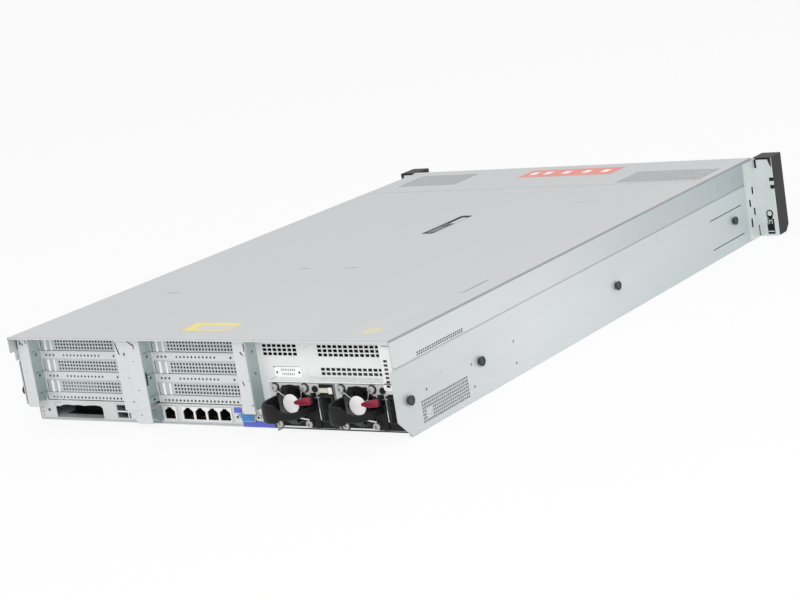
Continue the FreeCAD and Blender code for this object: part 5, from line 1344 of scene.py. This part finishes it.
def carrier_lights(bm, x, z):
    """Three small lamps, one over another, at the right of a carrier's face."""
    lamp = [(0.9, 0), (0.9, -0.3), (0.5, -0.6), (0.02, -0.65)]
    for i in range(3):
        add_lathe(bm, "Y", (x + 101.6, BAY_FRONT, z + 8.0 + 5.0 * i), lamp, 12)


new_piece("blank_fronts", BLACK, "chassis", blank_fronts, ["drive_blanks"])
new_piece("bay_frame", BRIGHT, "chassis", bay_frame)
new_piece("bay_marks", PALE, "chassis", bay_marks)
for number, column in ((1, 0), (2, 1)):
    x, z = bay(column, 2)
    new_piece(f"carrier_{number}_front", CHARCOAL, f"drive_{number}", lambda bm: carrier_front(bm, x, z),
              [f"drive_carrier_{number}"])
    new_piece(f"carrier_{number}_lights", GREEN_LIGHT, f"drive_{number}", lambda bm: carrier_lights(bm, x, z))
    new_piece(f"carrier_{number}_ejector", MAROON, f"drive_lever_{number}",
              lambda bm: carrier_lever(bm, x, z), [f"carrier_lever_{number}"])


def drive_top(bm, x, z):
    """A drive's cast body with its stamped lid and corner screws."""
    low_x, high_x = x + 2.5, x + 104.1
    y0, y1 = CAGE_FRONT + 12.6, CAGE_FRONT + 159.4
    base = z + 0.6
    add_soft_prism(bm, "top", base + 0.2, base + 20.0, box_loop(low_x, high_x, y0, y1), 0.8)
    add_soft_prism(bm, "top", base + 20.0, base + 25.6,
                   soft_loop(low_x + 2.0, high_x - 2.0, y0 + 3.0, y1 - 3.0, 8.0), 0.6)
    for u in (low_x + 6.0, high_x - 6.0):
        for y in (y0 + 7.0, y1 - 7.0):
            add_screw(bm, "Z", (u, y, base + 25.4), 2.0, 0.4, 1)


def drive_label(bm, x, z):
    add_sheet(bm, "top", z + 26.4, z + 26.2,
              box_loop(x + 22.0, x + 84.0, CAGE_FRONT + 30.0, CAGE_FRONT + 120.0))


for number, column in ((1, 0), (2, 1)):
    x, z = bay(column, 2)
    new_piece(f"drive_{number}_body", DRIVE, f"drive_{number}", lambda bm: drive_top(bm, x, z),
              [f"hard_drive_{number}"])
    new_piece(f"drive_{number}_label", WHITE, f"drive_{number}", lambda bm: drive_label(bm, x, z))


def ear_front(bm, side):
    """Trim of an ear's face: a thin seam and three small vents."""
    front = corners("ear_cover_left")[0].y
    x0, x1 = sorted((side * (HALF + 3.6), side * (HALF + 19.4)))
    add_sheet(bm, "rear", front - 0.25, front + 0.4, soft_loop(x0, x1, 71.6, 72.6, 0.4))
    for i in range(3):
        add_sheet(bm, "rear", front - 0.2, front + 0.4,
                  soft_loop(x0 + 2.0, x1 - 2.0, 9.4 + 1.8 * i, 10.2 + 1.8 * i, 0.35))


for side, label in ((1, "left"), (-1, "right")):
    new_piece(f"ear_front_trim_{label}", LEVER_GREY, "chassis", lambda bm: ear_front(bm, side))


def status_lights(bm):
    front = corners("ear_cover_right")[0].y
    for z in (75.0, 79.0, 83.0):
        add_lathe(bm, "Y", (-(HALF + 13.5), front, z), [(1.0, 0.2), (1.0, -0.2), (0.6, -0.4), (0.02, -0.45)],
                  12)


new_piece("status_lights", GREEN_LIGHT, "chassis", status_lights)

# ---------------------------------------------------------------- stage, light, camera

def stage():
    bm = bmesh.new()
    bmesh.ops.create_grid(bm, x_segments=1, y_segments=1, size=6.0)
    mesh = bpy.data.meshes.new("floor")
    bm.to_mesh(mesh)
    bm.free()
    floor = bpy.data.objects.new("floor", mesh)
    floor.location.z = -0.0004
    bpy.context.scene.collection.objects.link(floor)
    material = bpy.data.materials.new("pale_floor")
    material.use_nodes = True
    tree = material.node_tree
    shader = tree.nodes["Principled BSDF"]
    shader.inputs["Base Color"].default_value = (0.86, 0.86, 0.86, 1)
    shader.inputs["Roughness"].default_value = 0.9
    glow = node(tree, "ShaderNodeEmission", Strength=1.0)
    glow.inputs["Color"].default_value = (1, 1, 1, 1)
    rays = node(tree, "ShaderNodeLightPath")
    share = node(tree, "ShaderNodeMath", operation="MULTIPLY")
    share.inputs[1].default_value = 0.88
    mix = node(tree, "ShaderNodeMixShader")
    either = node(tree, "ShaderNodeMath", operation="MAXIMUM")
    tree.links.new(rays.outputs["Is Camera Ray"], either.inputs[0])
    tree.links.new(rays.outputs["Is Glossy Ray"], either.inputs[1])
    tree.links.new(either.outputs["Value"], share.inputs[0])
    tree.links.new(share.outputs["Value"], mix.inputs["Fac"])
    tree.links.new(shader.outputs["BSDF"], mix.inputs[1])
    tree.links.new(glow.outputs["Emission"], mix.inputs[2])
    tree.links.new(mix.outputs["Shader"], tree.nodes["Material Output"].inputs["Surface"])
    mesh.materials.append(material)

    world = bpy.data.worlds.new("studio")
    bpy.context.scene.world = world
    world.use_nodes = True
    tree = world.node_tree
    background = tree.nodes["Background"]
    background.inputs["Color"].default_value = (1, 1, 1, 1)
    rays = node(tree, "ShaderNodeLightPath")
    seen = node(tree, "ShaderNodeMath", operation="MAXIMUM")
    clear = node(tree, "ShaderNodeMath", operation="MAXIMUM")
    level = node(tree, "ShaderNodeMapRange")
    level.inputs["To Min"].default_value = 0.62
    level.inputs["To Max"].default_value = 1.0
    tree.links.new(rays.outputs["Is Camera Ray"], seen.inputs[0])
    tree.links.new(rays.outputs["Is Glossy Ray"], seen.inputs[1])
    tree.links.new(seen.outputs["Value"], clear.inputs[0])
    tree.links.new(rays.outputs["Is Transmission Ray"], clear.inputs[1])
    tree.links.new(clear.outputs["Value"], level.inputs["Value"])
    tree.links.new(level.outputs["Result"], background.inputs["Strength"])


def area_light(name, place, aim, size, power, mirrored=True):
    light = bpy.data.lights.new(name, "AREA")
    light.shape = "DISK"
    light.size = size
    light.energy = power
    lamp = bpy.data.objects.new(name, light)
    lamp.location = place
    lamp.rotation_euler = (Vector(aim) - Vector(place)).to_track_quat("-Z", "Y").to_euler()
    lamp.visible_glossy = mirrored
    bpy.context.scene.collection.objects.link(lamp)


CAMERA_ROLL = -9.1


def camera():
    """The camera looks down on the rear and the -X side, from behind and a little rolled."""
    view = bpy.data.cameras.new("camera")
    view.lens = 96.87
    view.sensor_width = 36.0
    taker = bpy.data.objects.new("camera", view)
    taker.location = (-1.2350, 1.7361, 0.4999)
    forward = Vector((0.5714, -0.7917, -0.2161))
    level = forward.to_track_quat("-Z", "Y").to_matrix()
    taker.rotation_euler = (level @ Matrix.Rotation(math.radians(CAMERA_ROLL), 3, "Z")).to_euler()
    bpy.context.scene.collection.objects.link(taker)
    bpy.context.scene.camera = taker


stage()
area_light("rear_softbox", (-0.9, 2.2, 1.1), (0, 0.3, 0.04), 1.6, 26, mirrored=False)
area_light("side_softbox", (-2.2, 0.2, 1.0), (0, 0, 0.04), 1.6, 14)
area_light("top_softbox", (0.2, 0.0, 2.4), (0, 0, 0), 2.0, 8)
camera()
bpy.context.scene.view_settings.view_transform = "Standard"

# ---------------------------------------------------------------- CAD nodes keep their shape

LOOKS = {
    "chassis_steel": SIDE, "cover_steel": COVER, "panel_steel": PANEL, "dark_steel": DARK_STEEL,
    "stud_steel": STUD, "socket_shield": SHIELD, "blue_plastic": BLUE, "black_plastic": BLACK,
    "ear_plastic": EAR, "maroon_plastic": MAROON, "board_green": BOARD, "module_green": MODULE,
    "fin_aluminium": FINS, "drive_aluminium": DRIVE, "baffle_plastic": BAFFLE,
}
OWN_LOOKS = {
    "ear_bracket_left": EAR_SHEET, "ear_bracket_right": EAR_SHEET,
    "psu_1_case": SUPPLY_SHEET, "psu_2_case": SUPPLY_SHEET, "psu_cage": SUPPLY_SHEET,
}
for part in frame["record"]["subparts"]:
    thing = nodes[part["node"]]
    for slot in thing.material_slots:
        slot.material = OWN_LOOKS.get(part["node"], LOOKS[part["material_slot"]])
